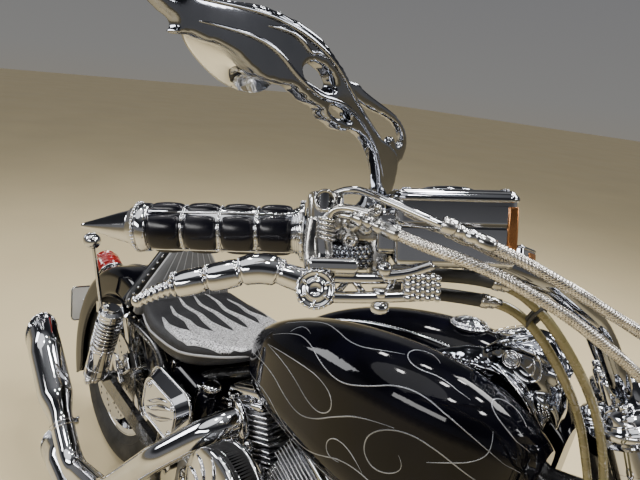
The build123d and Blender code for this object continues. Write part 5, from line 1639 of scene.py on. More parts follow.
# stepped border and bosses round the cam chest
for r, y, t in ((121, -112, 3.2), (114, -114, 2.2)):
    gb.add(*torus(V((770, y, 300)), (0, 1, 0), r, t, 96, 10))
for a in (20, 62, 118, 160, 205, 248, 292, 335):
    e = V((math.cos(math.radians(a)), 0, math.sin(math.radians(a))))
    if 300 + 128 * e.z < 392:
        gb.add(*lathe(V((770, -106, 300)) + e * 128, V((770, -118, 300)) + e * 128, [(0, 12), (8, 10.5), (10, 8.5), (10.4, 1)], 24))
        gbolt.add(*bolt(V((770, -116, 300)) + e * 128, (0, -1, 0), 5, 6))
for x, z, r in ((922, 350, 15), (922, 300, 11), (640, 366, 16)):
    gpol.add(*lathe(V((x, -108, z)), V((x, -122, z)), [(0, r + 3), (3, r + 3), (5, r), (10, r), (11, r - 3)], 6))
    gpol.add(*torus(V((x, -112.5, z)), (0, 1, 0), r + 3.5, 1.4, 36, 8))
for side in (1, -1):
    gb.add(*rbox((772, side * 111, 184), (352, 8, 5), 2.2, None, 3))
    for k in range(12):
        gb.add(*rbox((640 + 24 * k, side * 96, 172), (4, 26, 14), 1.6, None, 2))
for s0, rows in ((-1, [(612, -100, 374), (588, -116, 392), (560, -112, 414), (520, -84, 424), (486, -60, 430), (452, -40, 452)]), (-1, [(636, -100, 384), (600, -104, 408), (566, -96, 430), (524, -70, 440), (490, -46, 446), (456, -26, 466)])):
    lines_.add(*tube(even(nurbs([V(q) for q in rows], 10), 4), 5.6, 12))
    gpol.add(*lathe(V(rows[0]) - V((0, 0, 4)), V(rows[1]), [(0, 8.5), (8, 8.5), (9, 7), (16, 7)], 6))
gb.obj("gearbox_door_and_case_ribs", ALLOY, "chassis", slot="engine_alloy")
gpol.obj("starter_and_case_plugs", CHROME, "chassis", slot="chrome")
gbolt.obj("case_bolts", WORN_CHROME, "chassis", slot="chrome")
lines_.obj("oil_lines", SLEEVE, "chassis", slot="cable_sleeve")
# left side: shift rod with ball ends and its arm on the case
shf = Build()
sa_, sb_ = V((1096, 170, 262)), V((596, 186, 236))
sd_ = (sb_ - sa_).normalized()
shf.add(*tube([sa_, sb_], 5.2, 14))
for q, o in ((sa_, 1), (sb_, -1)):
    shf.add(*ball(q, 9.5, 20, 12))
    shf.add(*lathe(q + sd_ * o * 8, q + sd_ * o * 34, [(0, 8), (14, 8), (15, 6.6), (26, 6.4)], 6))
shf.add(*rbox((596, 178, 262), (18, 8, 66), 3.5, None, 3))
shf.add(*lathe(V((596, 166, 290)), V((596, 184, 290)), [(0, 14), (4, 14), (5, 11), (16, 11), (18, 8)], 24))
shf.add(*tube([V((596, 176, 236)), V((596, 188, 236))], 5, 12))
shf.add(*rbox((1096, 160, 262), (16, 22, 16), 4, None, 3))
shf.obj("shift_rod", CHROME, "chassis", slot="chrome")
filt = Build()
filt.add(*lathe(V((930, -60, 172)), V((1016, -60, 172)), [(0, 30), (10, 34), (60, 34), (70, 33), (76, 29), (80, 16), (80.5, 1)], 48))
for k in range(20):
    a = 2 * math.pi * k / 20
    e = V((0, math.cos(a), math.sin(a)))
    filt.add(*tube([V((992, -60, 172)) + e * 33.6, V((1004, -60, 172)) + e * 30.5], 1.6, 8))
filt.obj("oil_filter", CHROME, "chassis", slot="chrome")

# primary cover: raised derby and inspection discs, step line, bolts
pc = Build()
py = 168.3
for x, r in ((602, 64), (862, 50)):
    c = V((x, py - 3, 296))
    pc.add(*lathe(c, c + V((0, 14, 0)), [(0, r), (4, r), (6.5, r - 1.5), (8.5, r - 6), (9, r - 10), (8, r - 12), (8.4, r - 18), (10.5, r - 30), (11.6, 12), (11.8, 1)], 72))
    for k in range(5):
        a = 2 * math.pi * k / 5 + 0.3
        pc.add(*bolt(c + V(((r - 7.5) * math.cos(a), 6, (r - 7.5) * math.sin(a))), (0, 1, 0), 3.8, 5))
    for k in range(9):
        a = 2 * math.pi * k / 9
        e, f_ = V((math.cos(a), 0, math.sin(a))), V((-math.sin(a), 0, math.cos(a)))
        pc.add(*tube([c + e * (r - 20) + V((0, 8.6, 0)), c + e * (r - 32) + f_ * 3 + V((0, 10.6, 0)), c + e * 12 + V((0, 11.4, 0))], lambda u, a_, d: 2.4 - 1.4 * u, 8))
rim = []
for px, pz in rrect(720, 296, 404, 156, 60, 12):
    rim.append(V((px, py - 0.2, pz)))
pc.add(*tube(even(rim + [rim[0]], 6), 2.4, 10, cap=False))
for i in range(12):
    q = rrect(720, 296, 386, 138, 52, 12)
    p = q[int(i * len(q) / 12)]
    pc.add(*bolt(V((p[0], py - 1, p[1])), (0, 1, 0), 4.4, 6))
pc.obj("primary_cover_relief", CHROME, "chassis", slot="chrome")

# side covers: bordered panel with a swept blade and three studs
sc_ = Build()
for s in (1, -1):
    rim = [V((x, s * 180.4, z)) for x, z in rrect(455, 510, 148, 98, 30, 10)]
    sc_.add(*tube(even(rim + [rim[0]], 8), 2.6, 8, cap=False))
    rim = [V((x, s * 153, z)) for x, z in rrect(455, 510, 193, 143, 42, 10)]
    sc_.add(*tube(even(rim + [rim[0]], 8), 3.2, 8, cap=False))
    for rows in (([(398, 482), (430, 496), (468, 524), (512, 540)], 7), ([(402, 500), (430, 516), (462, 540), (490, 548)], 5), ([(410, 472), (446, 478), (486, 500), (520, 522)], 5)):
        sc_.add(*tube(even(nurbs([V((x, s * 180.5, z)) for x, z in rows[0]], 10), 4), lambda u, a, d, m=rows[1]: 0.8 + m * math.sin(math.pi * u) ** 0.8, 12))
    for x, z in ((400, 545), (515, 478), (514, 548)):
        sc_.add(*bolt(V((x, s * 179.6, z)), (0, s, 0), 5.5, 6))
        sc_.add(*torus(V((x, s * 180.2, z)), (0, 1, 0), 8.2, 1.2, 28, 8))
sc_.obj("side_cover_relief", CHROME, "chassis", slot="chrome")

# exhausts: port flanges, clamps and turned tips
UP_LINE = [V((655, -84, 585)), V((640, -150, 572)), V((560, -232, 470)), V((400, -262, 262)), V((209, -264, 197)), V((-108, -273, 445))]
LOW_LINE = [V((915, -84, 540)), V((950, -160, 500)), V((964, -200, 330)), V((905, -226, 132)), V((640, -240, 90)), V((330, -244, 92)), V((46, -252, 142))]
exh, inner = Build(), Build()


def along(line, t):
    a = even(line, 4.0)
    i = min(len(a) - 2, max(0, int(t / 4.0)))
    return a[i], (a[i + 1] - a[i]).normalized()


for line, tipr, r_body in ((UP_LINE, 45.2, 45), (LOW_LINE, 42.2, 42)):
    p, d = line[0], (line[1] - line[0]).normalized()
    exh.add(*lathe(p + d * 8, p + d * 24, [(0, 44), (2, 46), (9, 46), (12, 42), (15, 33)], 40))
    for k in range(3):
        a = 2 * math.pi * k / 3 + 0.5
        _d, e1, e2 = basis(d)
        exh.add(*bolt(p + d * 17 + (e1 * math.cos(a) + e2 * math.sin(a)) * 38, d, 5.5, 9))
    tip, d = line[-1], (line[-1] - line[-2]).normalized()
    # one strap and its bolt where the silencer starts
    q = line[-2] + d * (118 if tipr > 44 else 92)
    for o in (-6, 6):
        exh.add(*torus(q + d * o, d, 31.4, 1.8, 56, 10))
    exh.add(*rbox(q + V((0, 34, 0)), (20, 16, 14), 4, None, 3))
    exh.add(*bolt(q + V((0, 40, 6)), (0, 0, 1), 4.4, 7))
    # sooty bore, well behind the slanted lip
    inner.add(*lathe(tip - d * 150, tip - d * 3, [(0, 2), (0.2, tipr - 5), (150 - tipr * 1.3, tipr - 4.8)], 48, closed=False))
exh.obj("exhaust_clamps_and_tips", CHROME, "chassis", slot="chrome")
inner.obj("exhaust_bores", SLEEVE, "chassis", slot="black_paint")



# ---- exhaust pipes and silencers as one smooth sweep each, with slanted, rolled outlets ----
def filleted(points, cap_r, share=0.45, step=4.0):
    """Straight runs joined by tangent arcs as large as the runs allow."""
    ps = [V(p) for p in points]
    out = [ps[0]]
    for a, b, c in zip(ps, ps[1:], ps[2:]):
        u, w = b - a, c - b
        turn = u.angle(w)
        r = min(cap_r, share * min(u.length, w.length) / math.tan(turn / 2))
        p0 = b - u.normalized() * (r * math.tan(turn / 2))
        ctr = b + (w.normalized() - u.normalized()).normalized() * (r / math.cos(turn / 2))
        axis = u.cross(w).normalized()
        n = max(8, int(r * turn / step))
        for i in range(n + 1):
            out.append(ctr + Matrix.Rotation(turn * i / n, 3, axis) @ (p0 - ctr))
    out.append(ps[-1])
    return out


def silencer(runs, cap_r, tip, r_pipe, r_tip, f0, f1, wall, tilt, n=56):
    elbow = V(runs[-1])
    tip = V(tip)
    d = (tip - elbow).normalized()
    cut_n = (d * math.cos(math.radians(tilt)) + V((0, 0, 1)) * math.sin(math.radians(tilt))).normalized()
    reach = r_tip * 1.3
    pts = even(filleted(list(runs) + [elbow + d * 150], cap_r), 7.0)
    far = (tip - elbow).length
    t = 155.0
    while t < far - reach - 4:
        pts.append(elbow + d * t)
        t += 7.0
    pts.append(elbow + d * (far - reach))
    rings = []
    for p, dd, x, y in frames_along(pts):
        s = (p - elbow).dot(d)
        k = 0.0 if (p - elbow).length > 1e-6 and s < f0 else min(1.0, max(0.0, (s - f0) / (f1 - f0)))
        if s > 0 and (p - (elbow + d * s)).length > 5:
            k = 0.0
        k = k * k * (3 - 2 * k)
        r = r_pipe + (r_tip - r_pipe) * k
        rings.append([p + (x * math.cos(2 * math.pi * i / n) + y * math.sin(2 * math.pi * i / n)) * r for i in range(n)])

    def lip(r, back):
        fr = frames_along(pts)[-1]
        ring = []
        for i in range(n):
            v = tip + (fr[2] * math.cos(2 * math.pi * i / n) + fr[3] * math.sin(2 * math.pi * i / n)) * r
            ring.append(v - d * ((v - tip).dot(cut_n) / d.dot(cut_n) + back))
        return ring

    rings.append(lip(r_tip, 0))
    edge = lip(r_tip - wall / 2, -0.4)
    rings.append(lip(r_tip - wall, 0))
    fr = frames_along(pts)[-1]
    rings.append([tip - d * (reach + 8) + (fr[2] * math.cos(2 * math.pi * i / n) + fr[3] * math.sin(2 * math.pi * i / n)) * (r_tip - wall) for i in range(n)])
    rings.append([tip - d * 156 + (fr[2] * math.cos(2 * math.pi * i / n) + fr[3] * math.sin(2 * math.pi * i / n)) * (r_tip - wall) for i in range(n)])
    vs, fs = [], []
    for ring in rings:
        vs += ring
    for j in range(len(rings) - 1):
        for i in range(n):
            k = (i + 1) % n
            fs.append((j * n + i, j * n + k, (j + 1) * n + k, (j + 1) * n + i))
    fs.append(tuple(range(n))[::-1])
    fs.append(tuple((len(rings) - 1) * n + i for i in range(n)))
    out = Build()
    out.add(vs, fs)
    out.add(*tube(edge + edge[:2], 2.5, 12, cap=False))
    return out


silencer(UP_LINE[:-1], 95, UP_LINE[-1], 30, 45, 130, 215, 3, -38).obj("upper_exhaust_smooth", CHROME, "chassis", slot="chrome", replaces=("upper_exhaust",))
silencer(LOW_LINE[:-1], 110, LOW_LINE[-1], 30, 42, 100, 160, 4, -38).obj("lower_exhaust_smooth", CHROME, "chassis", slot="chrome", replaces=("lower_exhaust",))



# ---- lacquered box under the seat, between the rails, with its filler and strap ----
box_, bx = Build(), Build()
box_.add(*rbox((452, 0, 508), (206, 240, 168), 34, None, 6))
box_.obj("battery_and_oil_box", BLACK, "chassis", slot="black_paint")
for x in (392, 512):
    bx.add(*rbox((x, 0, 508), (16, 243, 171), 35, None, 6))
for s in (1, -1):
    for z in (470, 508, 546):
        bx.add(*rbox((452, s * 119.5, z), (88, 4, 6), 1.8, None, 3))
cb_ = V((536, -96, 588))
bx.add(*lathe(cb_ - V((0, 0, 8)), cb_ + V((0, 0, 20)), [(0, 15), (8, 17), (10, 21), (20, 21), (22, 19), (25, 14), (26, 1)], 36))
for k in range(18):
    a = 2 * math.pi * k / 18
    e = V((math.cos(a), math.sin(a), 0))
    bx.add(*tube([cb_ + e * 20.8 + V((0, 0, 3)), cb_ + e * 20.8 + V((0, 0, 11))], 1.4, 8))
bx.obj("box_straps_and_filler", CHROME, "chassis", slot="chrome")



# ---- wheels: treaded tyres, rim lips, spoke ribs, and black dots on the discs as painted shade for their drilled holes ----
REAR_C = V((0, 0, R_REAR))


def treaded(c, R, W, crown, rim, rim_half, n=360, m=46):
    """Tyre of revolution about the y line through c, with a centre groove, angled side grooves and a plain sidewall."""
    fm = math.asin(min(1.0, W / 2 / crown))
    prof = []
    for j in range(m + 1):
        f = -fm + 2 * fm * j / m
        prof.append((crown * math.sin(f), R - crown + crown * math.cos(f), f / fm))
    r_sh = prof[0][1]
    side = []
    for t in (0.10, 0.22, 0.36, 0.5, 0.64, 0.78, 0.9, 1.0):
        y = W / 2 + 1.2 * math.sin(math.pi * t) - (W / 2 - rim_half) * t ** 1.8
        side.append((y, r_sh + (rim + 1 - r_sh) * t, 2.0))
    left = [(-y, r, -2.0) for y, r, k in reversed(side)]
    full = left + prof + side
    vs, fs = [], []
    for i in range(n):
        th = 2 * math.pi * i / n
        for y, r, k in full:
            cut = 0.0
            if abs(k) <= 1:
                s = th * R
                if abs(k + 0.045 * math.sin(s / 17.0)) < 0.055:
                    cut = 4.2
                elif 0.17 < abs(k) < 0.80 and (s + abs(k) * 52 + (18 if k > 0 else 0)) % 37.0 < 6.6:
                    cut = 4.0
                elif abs(abs(k) - 0.52) < 0.03:
                    cut = 3.0
            rr = r - cut
            vs.append(c + V((rr * math.cos(th), y, rr * math.sin(th))))
    w = len(full)
    for i in range(n):
        k = (i + 1) % n
        for j in range(w - 1):
            fs.append((i * w + j, i * w + j + 1, k * w + j + 1, k * w + j))
    # bead turns in over the rim
    return vs, fs


for c, R, W, crown, rh, body, node in ((AXLE_F, R_FRONT, W_FRONT, CROWN_F, 46, "front_wheel", "front_tyre"), (REAR_C, R_REAR, W_REAR, CROWN_R, 51, "rear_wheel", "rear_tyre")):
    b = Build()
    b.add(*treaded(c, R, W, crown, 206, rh))
    for s in (1, -1):
        for r in (214, 232, 236):
            b.add(*torus(c + V((0, s * (rh + (3.0 if r == 214 else 12.5 if W > 130 else 9.6)), 0)), (0, 1, 0), r, 1.3, 96, 8))
    b.obj(node + "_treaded", TYRE, body, slot="tyre", replaces=(node,))

for c, rh, hub_r, hub_h, body, nm, disc_y in ((AXLE_F, 48, 44, 58, "front_wheel", "front", (-61, 61)), (REAR_C, 53, 50, 76, "rear_wheel", "rear", (-79,))):
    w = Build()
    for s in (1, -1):
        w.add(*torus(c + V((0, s * (rh - 1.5), 0)), (0, 1, 0), 205, 3.2, 120, 12))
        w.add(*torus(c + V((0, s * (rh - 8), 0)), (0, 1, 0), 199, 2.0, 120, 10))
        w.add(*lathe(c + V((0, s * (hub_h - 18), 0)), c + V((0, s * hub_h, 0)), [(0, hub_r + 1), (2, hub_r + 5), (8, hub_r + 5), (10, hub_r + 1)], 60))
    for k in range(10):
        a = 2 * math.pi * k / 10
        e, f_ = V((math.cos(a), 0, math.sin(a))), V((-math.sin(a), 0, math.cos(a)))
        for s in (1, -1):
            # swept blade over each spoke's face, forked towards the rim
            y0 = s * (rh * 0.45)
            w.add(*tube(even(nurbs([c + e * (hub_r - 2) + V((0, y0 + s * 3, 0)), c + e * 90 + V((0, y0 + s * 2.5, 0)), c + e * 150 + f_ * 3 + V((0, y0 + s * 4, 0)), c + e * 188 + f_ * 11 + V((0, y0 + s * 7, 0))], 8), 8), lambda u, a_, d: 6.6 - 2.4 * u, 12))
            w.add(*tube(even(nurbs([c + e * 112 + V((0, y0 + s * 2.6, 0)), c + e * 150 - f_ * 4 + V((0, y0 + s * 4, 0)), c + e * 188 - f_ * 12 + V((0, y0 + s * 7, 0))], 8), 8), lambda u, a_, d: 4.8 - 1.2 * u, 12))
        w.add(*ball(c + e * (hub_r + 3) + V((0, rh * 0.45, 0)), 7, 14, 9))
        w.add(*ball(c + e * (hub_r + 3) - V((0, rh * 0.45, 0)), 7, 14, 9))
    # valve stem
    w.add(*lathe(c + V((188, 8, 0)), c + V((160, 14, 0)), [(0, 6), (3, 6), (4, 4), (22, 4), (22.5, 4.6), (30, 4.4)], 14))
    w.obj(nm + "_rim_and_spoke_ribs", CHROME, body, slot="chrome")
    hole_shade_dots, carr = Build(), Build()
    # black flat dots on both faces of each disc: painted shade where the drilled holes would look dark
    for y in disc_y:
        for fy in (-3.15, 3.15):
            for k in range(10):
                for j in range(4):
                    a = 2 * math.pi * k / 10 + 0.13 * j
                    p = c + V(((98 + 12.5 * j) * math.cos(a), y + fy, (98 + 12.5 * j) * math.sin(a)))
                    hole_shade_dots.add(*lathe(p - V((0, 0.12, 0)), p + V((0, 0.12, 0)), [(0, 4.3), (0.24, 4.3)], 14))
        s = 1 if y > 0 else -1
        cy = V((0, y + s * 3.2, 0))
        carr.add(*lathe(c + cy, c + cy + V((0, s * 5, 0)), [(0, 70), (2.5, 69), (4, 65), (4.6, 34), (5, 24)], 60))
        for k in range(5):
            a = 2 * math.pi * k / 5
            carr.add(*bolt(c + cy + V((56 * math.cos(a), s * 4, 56 * math.sin(a))), (0, s, 0), 6.5, 7))
        for k in range(10):
            a = 2 * math.pi * k / 10 + 0.15
            carr.add(*ball(c + cy + V((71 * math.cos(a), 0, 71 * math.sin(a))), 6.0, 14, 8, (1, 0.45, 1)))
    if nm == "rear":
        # hub cap ring on the belt side and the pulley's web bolts
        for k in range(5):
            a = 2 * math.pi * k / 5
            carr.add(*bolt(c + V((62 * math.cos(a), 94, 62 * math.sin(a))), (0, 1, 0), 7.5, 8))
        carr.add(*lathe(c + V((0, 94, 0)), c + V((0, 98, 0)), [(0, 84), (2, 83), (4, 80), (4.2, 34)], 60))
    hole_shade_dots.obj(nm + "_disc_hole_shade", SLEEVE, body, slot="disc_steel")
    carr.obj(nm + "_disc_carriers", POLISHED, body, slot="chrome")

# belt with teeth, from the rear pulley into the gearbox case
SPR_C, SPR_R, PUL_R = V((500, 85, 300)), 46.0, 118.6
dvec = SPR_C - REAR_C
dvec.y = 0
base_a = math.atan2(dvec.z, dvec.x)
off_a = math.acos((PUL_R - SPR_R) / dvec.length)
loop = []
a1, a2 = base_a + off_a, base_a + 2 * math.pi - off_a
for k in range(61):
    a = a1 + (a2 - a1) * k / 60
    loop.append(V((REAR_C.x + PUL_R * math.cos(a), 85, REAR_C.z + PUL_R * math.sin(a))))
for k in range(21):
    a = a2 + (a1 + 2 * math.pi - a2) * k / 20
    loop.append(V((SPR_C.x + SPR_R * math.cos(a), 85, SPR_C.z + SPR_R * math.sin(a))))
loop.append(loop[0])
belt_line = even(loop, 5.0)
vs, fs = [], []
nb = len(belt_line) - 1
for i in range(nb):
    p, q = belt_line[i], belt_line[(i + 1) % nb]
    t_ = (q - p).normalized()
    out = V((-t_.z, 0, t_.x))
    if out.dot(p - V((250, 85, 312))) < 0:
        out = -out
    lo = -0.2 if i % 2 else -2.2
    for y, l in ((-7.5, lo), (7.5, lo), (7.5, 2.4), (-7.5, 2.4)):
        vs.append(p + V((0, y, 0)) + out * l)
for i in range(nb):
    k = (i + 1) % nb
    for j in range(4):
        l = (j + 1) % 4
        fs.append((i * 4 + j, i * 4 + l, k * 4 + l, k * 4 + j))
bb = Build()
bb.add(vs, fs)
bb.obj("drive_belt", TYRE, "chassis", slot="black_paint")
teeth = Build()
for k in range(70):
    a = 2 * math.pi * k / 70
    e = V((math.cos(a), 0, math.sin(a)))
    teeth.add(*tube([REAR_C + e * 117.6 + V((0, 77, 0)), REAR_C + e * 117.6 + V((0, 93, 0))], 1.5, 8))
teeth.obj("rear_pulley_teeth", POLISHED, "rear_wheel", slot="chrome")

# rear caliper over the disc, on a bracket from the swinging arm; front caliper pistons and bolts
rc = Build()
Rr = Matrix.Rotation(math.radians(-44), 3, 'Y')
cc = V((86, -80, 408))
rc.add(*rbox(cc + V((0, -12.5, 0)), (64, 15, 58), 6, Rr, 4))
rc.add(*rbox(cc + V((0, 13.5, 0)), (64, 13, 58), 6, Rr, 4))
rc.add(*rbox(cc + Rr @ V((34.5, 0, 0)), (9, 40, 50), 4, Rr, 3))
rc.add(*rbox(cc + V((-22, -22, -38)), (30, 10, 78), 4, Rr, 3))
for dx in (-15, 15):
    p = cc + Rr @ V((dx, -19, 4))
    rc.add(*lathe(p, p + V((0, -5, 0)), [(0, 13), (3, 12.5), (4.5, 10), (4.6, 7), (3.4, 6.5), (3.4, 0.5)], 32))
for dx, dz in ((-24, 22), (24, 22), (-24, -20), (24, -20)):
    rc.add(*bolt(cc + Rr @ V((dx, -19, dz)), (0, -1, 0), 4.5, 6))
rc.obj("rear_caliper", CHROME, "chassis", slot="chrome")
fcal = Build()
Rk = Matrix.Rotation(math.radians(-RAKE), 3, 'Y')
for s in (1, -1):
    cc = ax(S_AXLE + 88, -84, s * 70)
    for dz in (-16, 16):
        p = cc + AXIS_DIR * dz + V((0, s * 19, 0))
        fcal.add(*lathe(p, p + V((0, s * 6, 0)), [(0, 14), (3.4, 13.4), (5, 11), (5.2, 8), (3.8, 7.4), (3.8, 0.5)], 32))
    for dz in (-26, 26):
        for do in (-24, 24):
            fcal.add(*bolt(cc + AXIS_DIR * dz * 0.95 + AHEAD * do + V((0, s * 19, 0)), (0, s, 0), 4.6, 6))
    fcal.add(*tube([cc + AXIS_DIR * 12 + V((0, s * 22, 0)), cc - AXIS_DIR * 12 + V((0, s * 22, 0))], 4.0, 12))
fcal.obj("front_caliper_pistons_and_bolts", CHROME, "steering", slot="chrome")

# ---- fork: caps, stem nut, pinch bolts, seals and axle nuts ----
S_TOP, S_LOW = 1098.0, 905.0        # middle of the upper and lower clamp along the axis
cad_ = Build()
for s in (1, -1):
    y = s * FORK_HALF
    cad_.add(*lathe(ax(1118, 25, y), ax(1150, 25, y), [(0, 29.5), (3, 31), (9, 31), (11, 28), (12, 26), (15, 26), (16, 24), (18, 23.5), (26, 22.5), (28, 19.5), (30, 14), (31, 6), (31.4, 1)], 48))
    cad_.add(*torus(ax(1133.5, 25, y), AXIS_DIR, 24.6, 1.2, 40, 8))
    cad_.add(*lathe(ax(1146, 25, y), ax(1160, 25, y), [(0, 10), (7, 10), (9, 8)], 6))
    for sc0 in (S_TOP, S_LOW):
        for do in (-10, 10):
            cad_.add(*bolt(ax(sc0 + do, 58, y * 0.80), AHEAD, 5.5, 9))
    for t in (952, 996, 1040):
        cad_.add(*torus(ax(t, 25, y), AXIS_DIR, 31.4, 1.7, 40, 6))
    top_s = S_AXLE - 34 + 352
    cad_.add(*lathe(ax(top_s - 26, 25, y), ax(top_s + 8, 25, y), [(0, 29.6), (2, 31.2), (9, 31.2), (11, 29.8), (16, 29.8), (17, 32), (25, 32), (28, 29), (33, 24.5), (34, 21)], 44))
    for t in (S_AXLE + 60, S_AXLE + 160, S_AXLE + 168):
        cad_.add(*torus(ax(t, 25, y), AXIS_DIR, 29.4, 1.4, 44, 8))
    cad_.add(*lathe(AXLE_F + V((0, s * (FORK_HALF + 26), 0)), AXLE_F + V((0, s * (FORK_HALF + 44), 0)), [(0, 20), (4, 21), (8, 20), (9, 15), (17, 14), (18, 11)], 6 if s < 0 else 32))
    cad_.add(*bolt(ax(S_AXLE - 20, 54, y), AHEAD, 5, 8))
    # riser caps round the bar and their bolts
    yy = s * 50
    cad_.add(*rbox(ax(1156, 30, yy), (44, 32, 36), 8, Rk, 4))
    for do in (-15, 15):
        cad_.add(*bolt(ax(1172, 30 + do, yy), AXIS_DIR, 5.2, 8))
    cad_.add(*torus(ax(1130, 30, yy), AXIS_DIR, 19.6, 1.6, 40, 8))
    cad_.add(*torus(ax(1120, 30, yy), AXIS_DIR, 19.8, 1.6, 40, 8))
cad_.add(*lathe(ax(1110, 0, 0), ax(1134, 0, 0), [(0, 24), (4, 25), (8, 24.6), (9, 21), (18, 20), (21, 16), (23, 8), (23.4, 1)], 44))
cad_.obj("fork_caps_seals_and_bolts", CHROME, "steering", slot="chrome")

# ---- headlight, signals, tail light, plate frame ----
HLc = ax(1000, 160)
h0, h1 = V((HLc.x - 60, 0, HLc.z + 6)), V((HLc.x + 100, 0, HLc.z - 4))
hd_ = (h1 - h0).normalized()
hb, hl = Build(), Build()
hb.add(*torus(h0 + hd_ * 151, hd_, 92, 4.2, 84, 14))
hb.add(*torus(h0 + hd_ * 140, hd_, 94.4, 1.6, 84, 10))
hb.add(*torus(h0 + hd_ * 112, hd_, 93.0, 2.0, 84, 10))
hb.add(*torus(h0 + hd_ * 50, hd_, 84.8, 1.8, 84, 10))
_d, e1, e2 = basis(hd_)
vis_v, vis_f = [], []
for i in range(41):
    a = math.radians(20 + 140 * i / 40)
    for t, r in ((146, 97), (150, 99), (150 + 34 * math.sin(math.radians(140 * i / 40 + 20)) ** 2, 100.5), (150 + 34 * math.sin(math.radians(140 * i / 40 + 20)) ** 2, 98.8), (150, 97.3)):
        vis_v.append(h0 + hd_ * t + (e1 * math.cos(a) + e2 * math.sin(a)) * r)
for i in range(40):
    for j in range(4):
        vis_f.append((i * 5 + j, i * 5 + j + 1, (i + 1) * 5 + j + 1, (i + 1) * 5 + j))
hb.add(vis_v, vis_f)
for k in range(16):
    a = math.radians(30 + 8 * k)
    hb.add(*ball(h0 + hd_ * 144 + (e1 * math.cos(a) + e2 * math.sin(a)) * 97.5, 2.2, 10, 7))
hl.add(*lathe(h0 + hd_ * 152.5, h1 + hd_ * 20, [(0, 89), (5, 87), (9, 78), (13, 60), (15.5, 38), (16.8, 18), (17, 1)], 72))
bowl = Build()
bowl.add(*lathe(h0, h0 + hd_, dense([(2, 3), (0.4, 16), (1.5, 31), (12, 57.5), (28, 73), (50, 83.5), (80, 89.4), (110, 92), (150, 94)], 5)
                + [(152, 93.4), (152.6, 91.5), (152, 89.6), (150, 88)] + dense([(149, 87.5), (140, 84), (124, 76), (104, 61), (88, 43), (78, 25), (74, 11), (73.4, 2)], 5), 96))
bowl.add(*lathe(h0 + hd_ * 72, h0 + hd_ * 130, [(0, 10), (20, 10), (21, 8), (26, 8), (27, 15), (40, 15), (46, 12.4), (49, 7), (50, 1)], 40))
ba, bq = ax(S_LOW + 26, 53, 0), V((HLc.x - 8, 0, HLc.z - 70))
bm_d, bm_x, bm_y = basis(bq - ba)
bowl.add(*rbox((ba + bq) / 2, ((bq - ba).length + 10, 60, 14), 5, Matrix((bm_d, V((0, 1, 0)), bm_d.cross(V((0, 1, 0))))).transposed(), 3))
bowl.obj("headlight_bowl", CHROME, "steering", slot="chrome", replaces=("headlight",))
for k in range(-9, 10):
    y = 8.6 * k
    z = math.sqrt(max(0.0, 86.0 ** 2 - y * y))
    _d, e1, e2 = basis(hd_)
    hl.add(*tube([h0 + hd_ * 152.2 + e1 * y - e2 * z, h0 + hd_ * 152.2 + e1 * y + e2 * z], 1.1, 8))
hb.obj("headlight_bezel_and_visor", CHROME, "steering", slot="chrome")
hl.obj("headlight_lens", GLASS, "steering", slot="chrome")
am, sg = Build(), Build()
for s in (1, -1):
    c = ax(960, 31, s * 198)
    am.add(*lathe(V((c.x + 31, c.y, c.z)), V((c.x + 44, c.y, c.z)), [(0, 27.6), (3, 27), (7, 21), (9.4, 12), (10, 1)], 40))
    sg.add(*torus(V((c.x + 29, c.y, c.z)), (1, 0, 0), 29.4, 2.0, 44, 10))
    sg.add(*torus(V((c.x + 5, c.y, c.z)), (1, 0, 0), 30.2, 1.3, 44, 8))
am.obj("front_signal_lenses", AMBER, "steering", slot="red_lens")
sg.obj("front_signal_rims", CHROME, "steering", slot="chrome")
am, sg, tl = Build(), Build(), Build()
for s in (1, -1):
    c = V((-126, s * 150, 742))
    am.add(*lathe(c + V((-12, 0, 0)), c + V((-30, 0, 0)), [(0, 22.4), (4, 21.6), (10, 16), (14, 8), (15, 1)], 36))
    sg.add(*torus(c + V((-11, 0, 0)), (1, 0, 0), 23.0, 1.8, 40, 10))
t0, t1 = V((-300, 0, 560)), V((-380, 0, 590))
td_ = (t1 - t0).normalized()
for t in (6, 20, 34, 48, 62):
    tl.add(*torus(t0 + td_ * t, td_, 44.2 if t < 50 else 43.4, 1.5, 56, 8))
sg.add(*torus(t0 + td_ * 0, td_, 45.0, 3.2, 60, 10))
tl.add(*lathe(t1 - td_ * 2, t1 + td_ * 6, [(0, 38), (2, 36), (5, 26), (6.4, 12), (6.8, 1)], 48))
am.obj("rear_signal_lenses", AMBER, "chassis", slot="red_lens")
tl.obj("tail_light_lens_ribs", RED_LENS, "chassis", slot="red_lens")
Rp = Matrix.Rotation(math.radians(-14), 3, 'Y')
pc_ = V((-398, 0, 400))
rim = [pc_ + Rp @ V((0, py_, pz_)) for py_, pz_ in rrect(0, 0, 186, 126, 14, 8)]
sg.add(*tube(even(rim + [rim[0]], 4), 3.2, 10, cap=False))
for y in (-70, 70):
    for z in (-46, 46):
        p = pc_ + Rp @ V((-1.4, y, z))
        sg.add(*bolt(p, Rp @ V((-1, 0, 0)), 5, 4))
# trumpet foot that carries the tail light on the mudguard, and the plate's two stays with their crossbar
sg.add(*lathe(t0 - td_ * 42, t0, [(0, 1), (0, 24), (20, 23), (32, 28), (40, 38), (43, 44)], 48))
for y in (-34, 34):
    sg.add(*tube(even([V((-325, y, 418)), V((-360, y, 420)), V((-399, y, 415))], 8), 5, 12))
    sg.add(*lathe(V((-336, y, 418.5)), V((-350, y, 419.4)), [(0, 12), (10, 12), (12.5, 9), (13, 5)], 20))
face = pc_ + Rp @ V((5.5, 0, 15))
sg.add(*tube(even([face + V((0, -56, 0)), face + V((0, 56, 0))], 14), 5, 12))
sg.obj("rear_lamp_rims_and_plate_frame", CHROME, "chassis", slot="chrome")

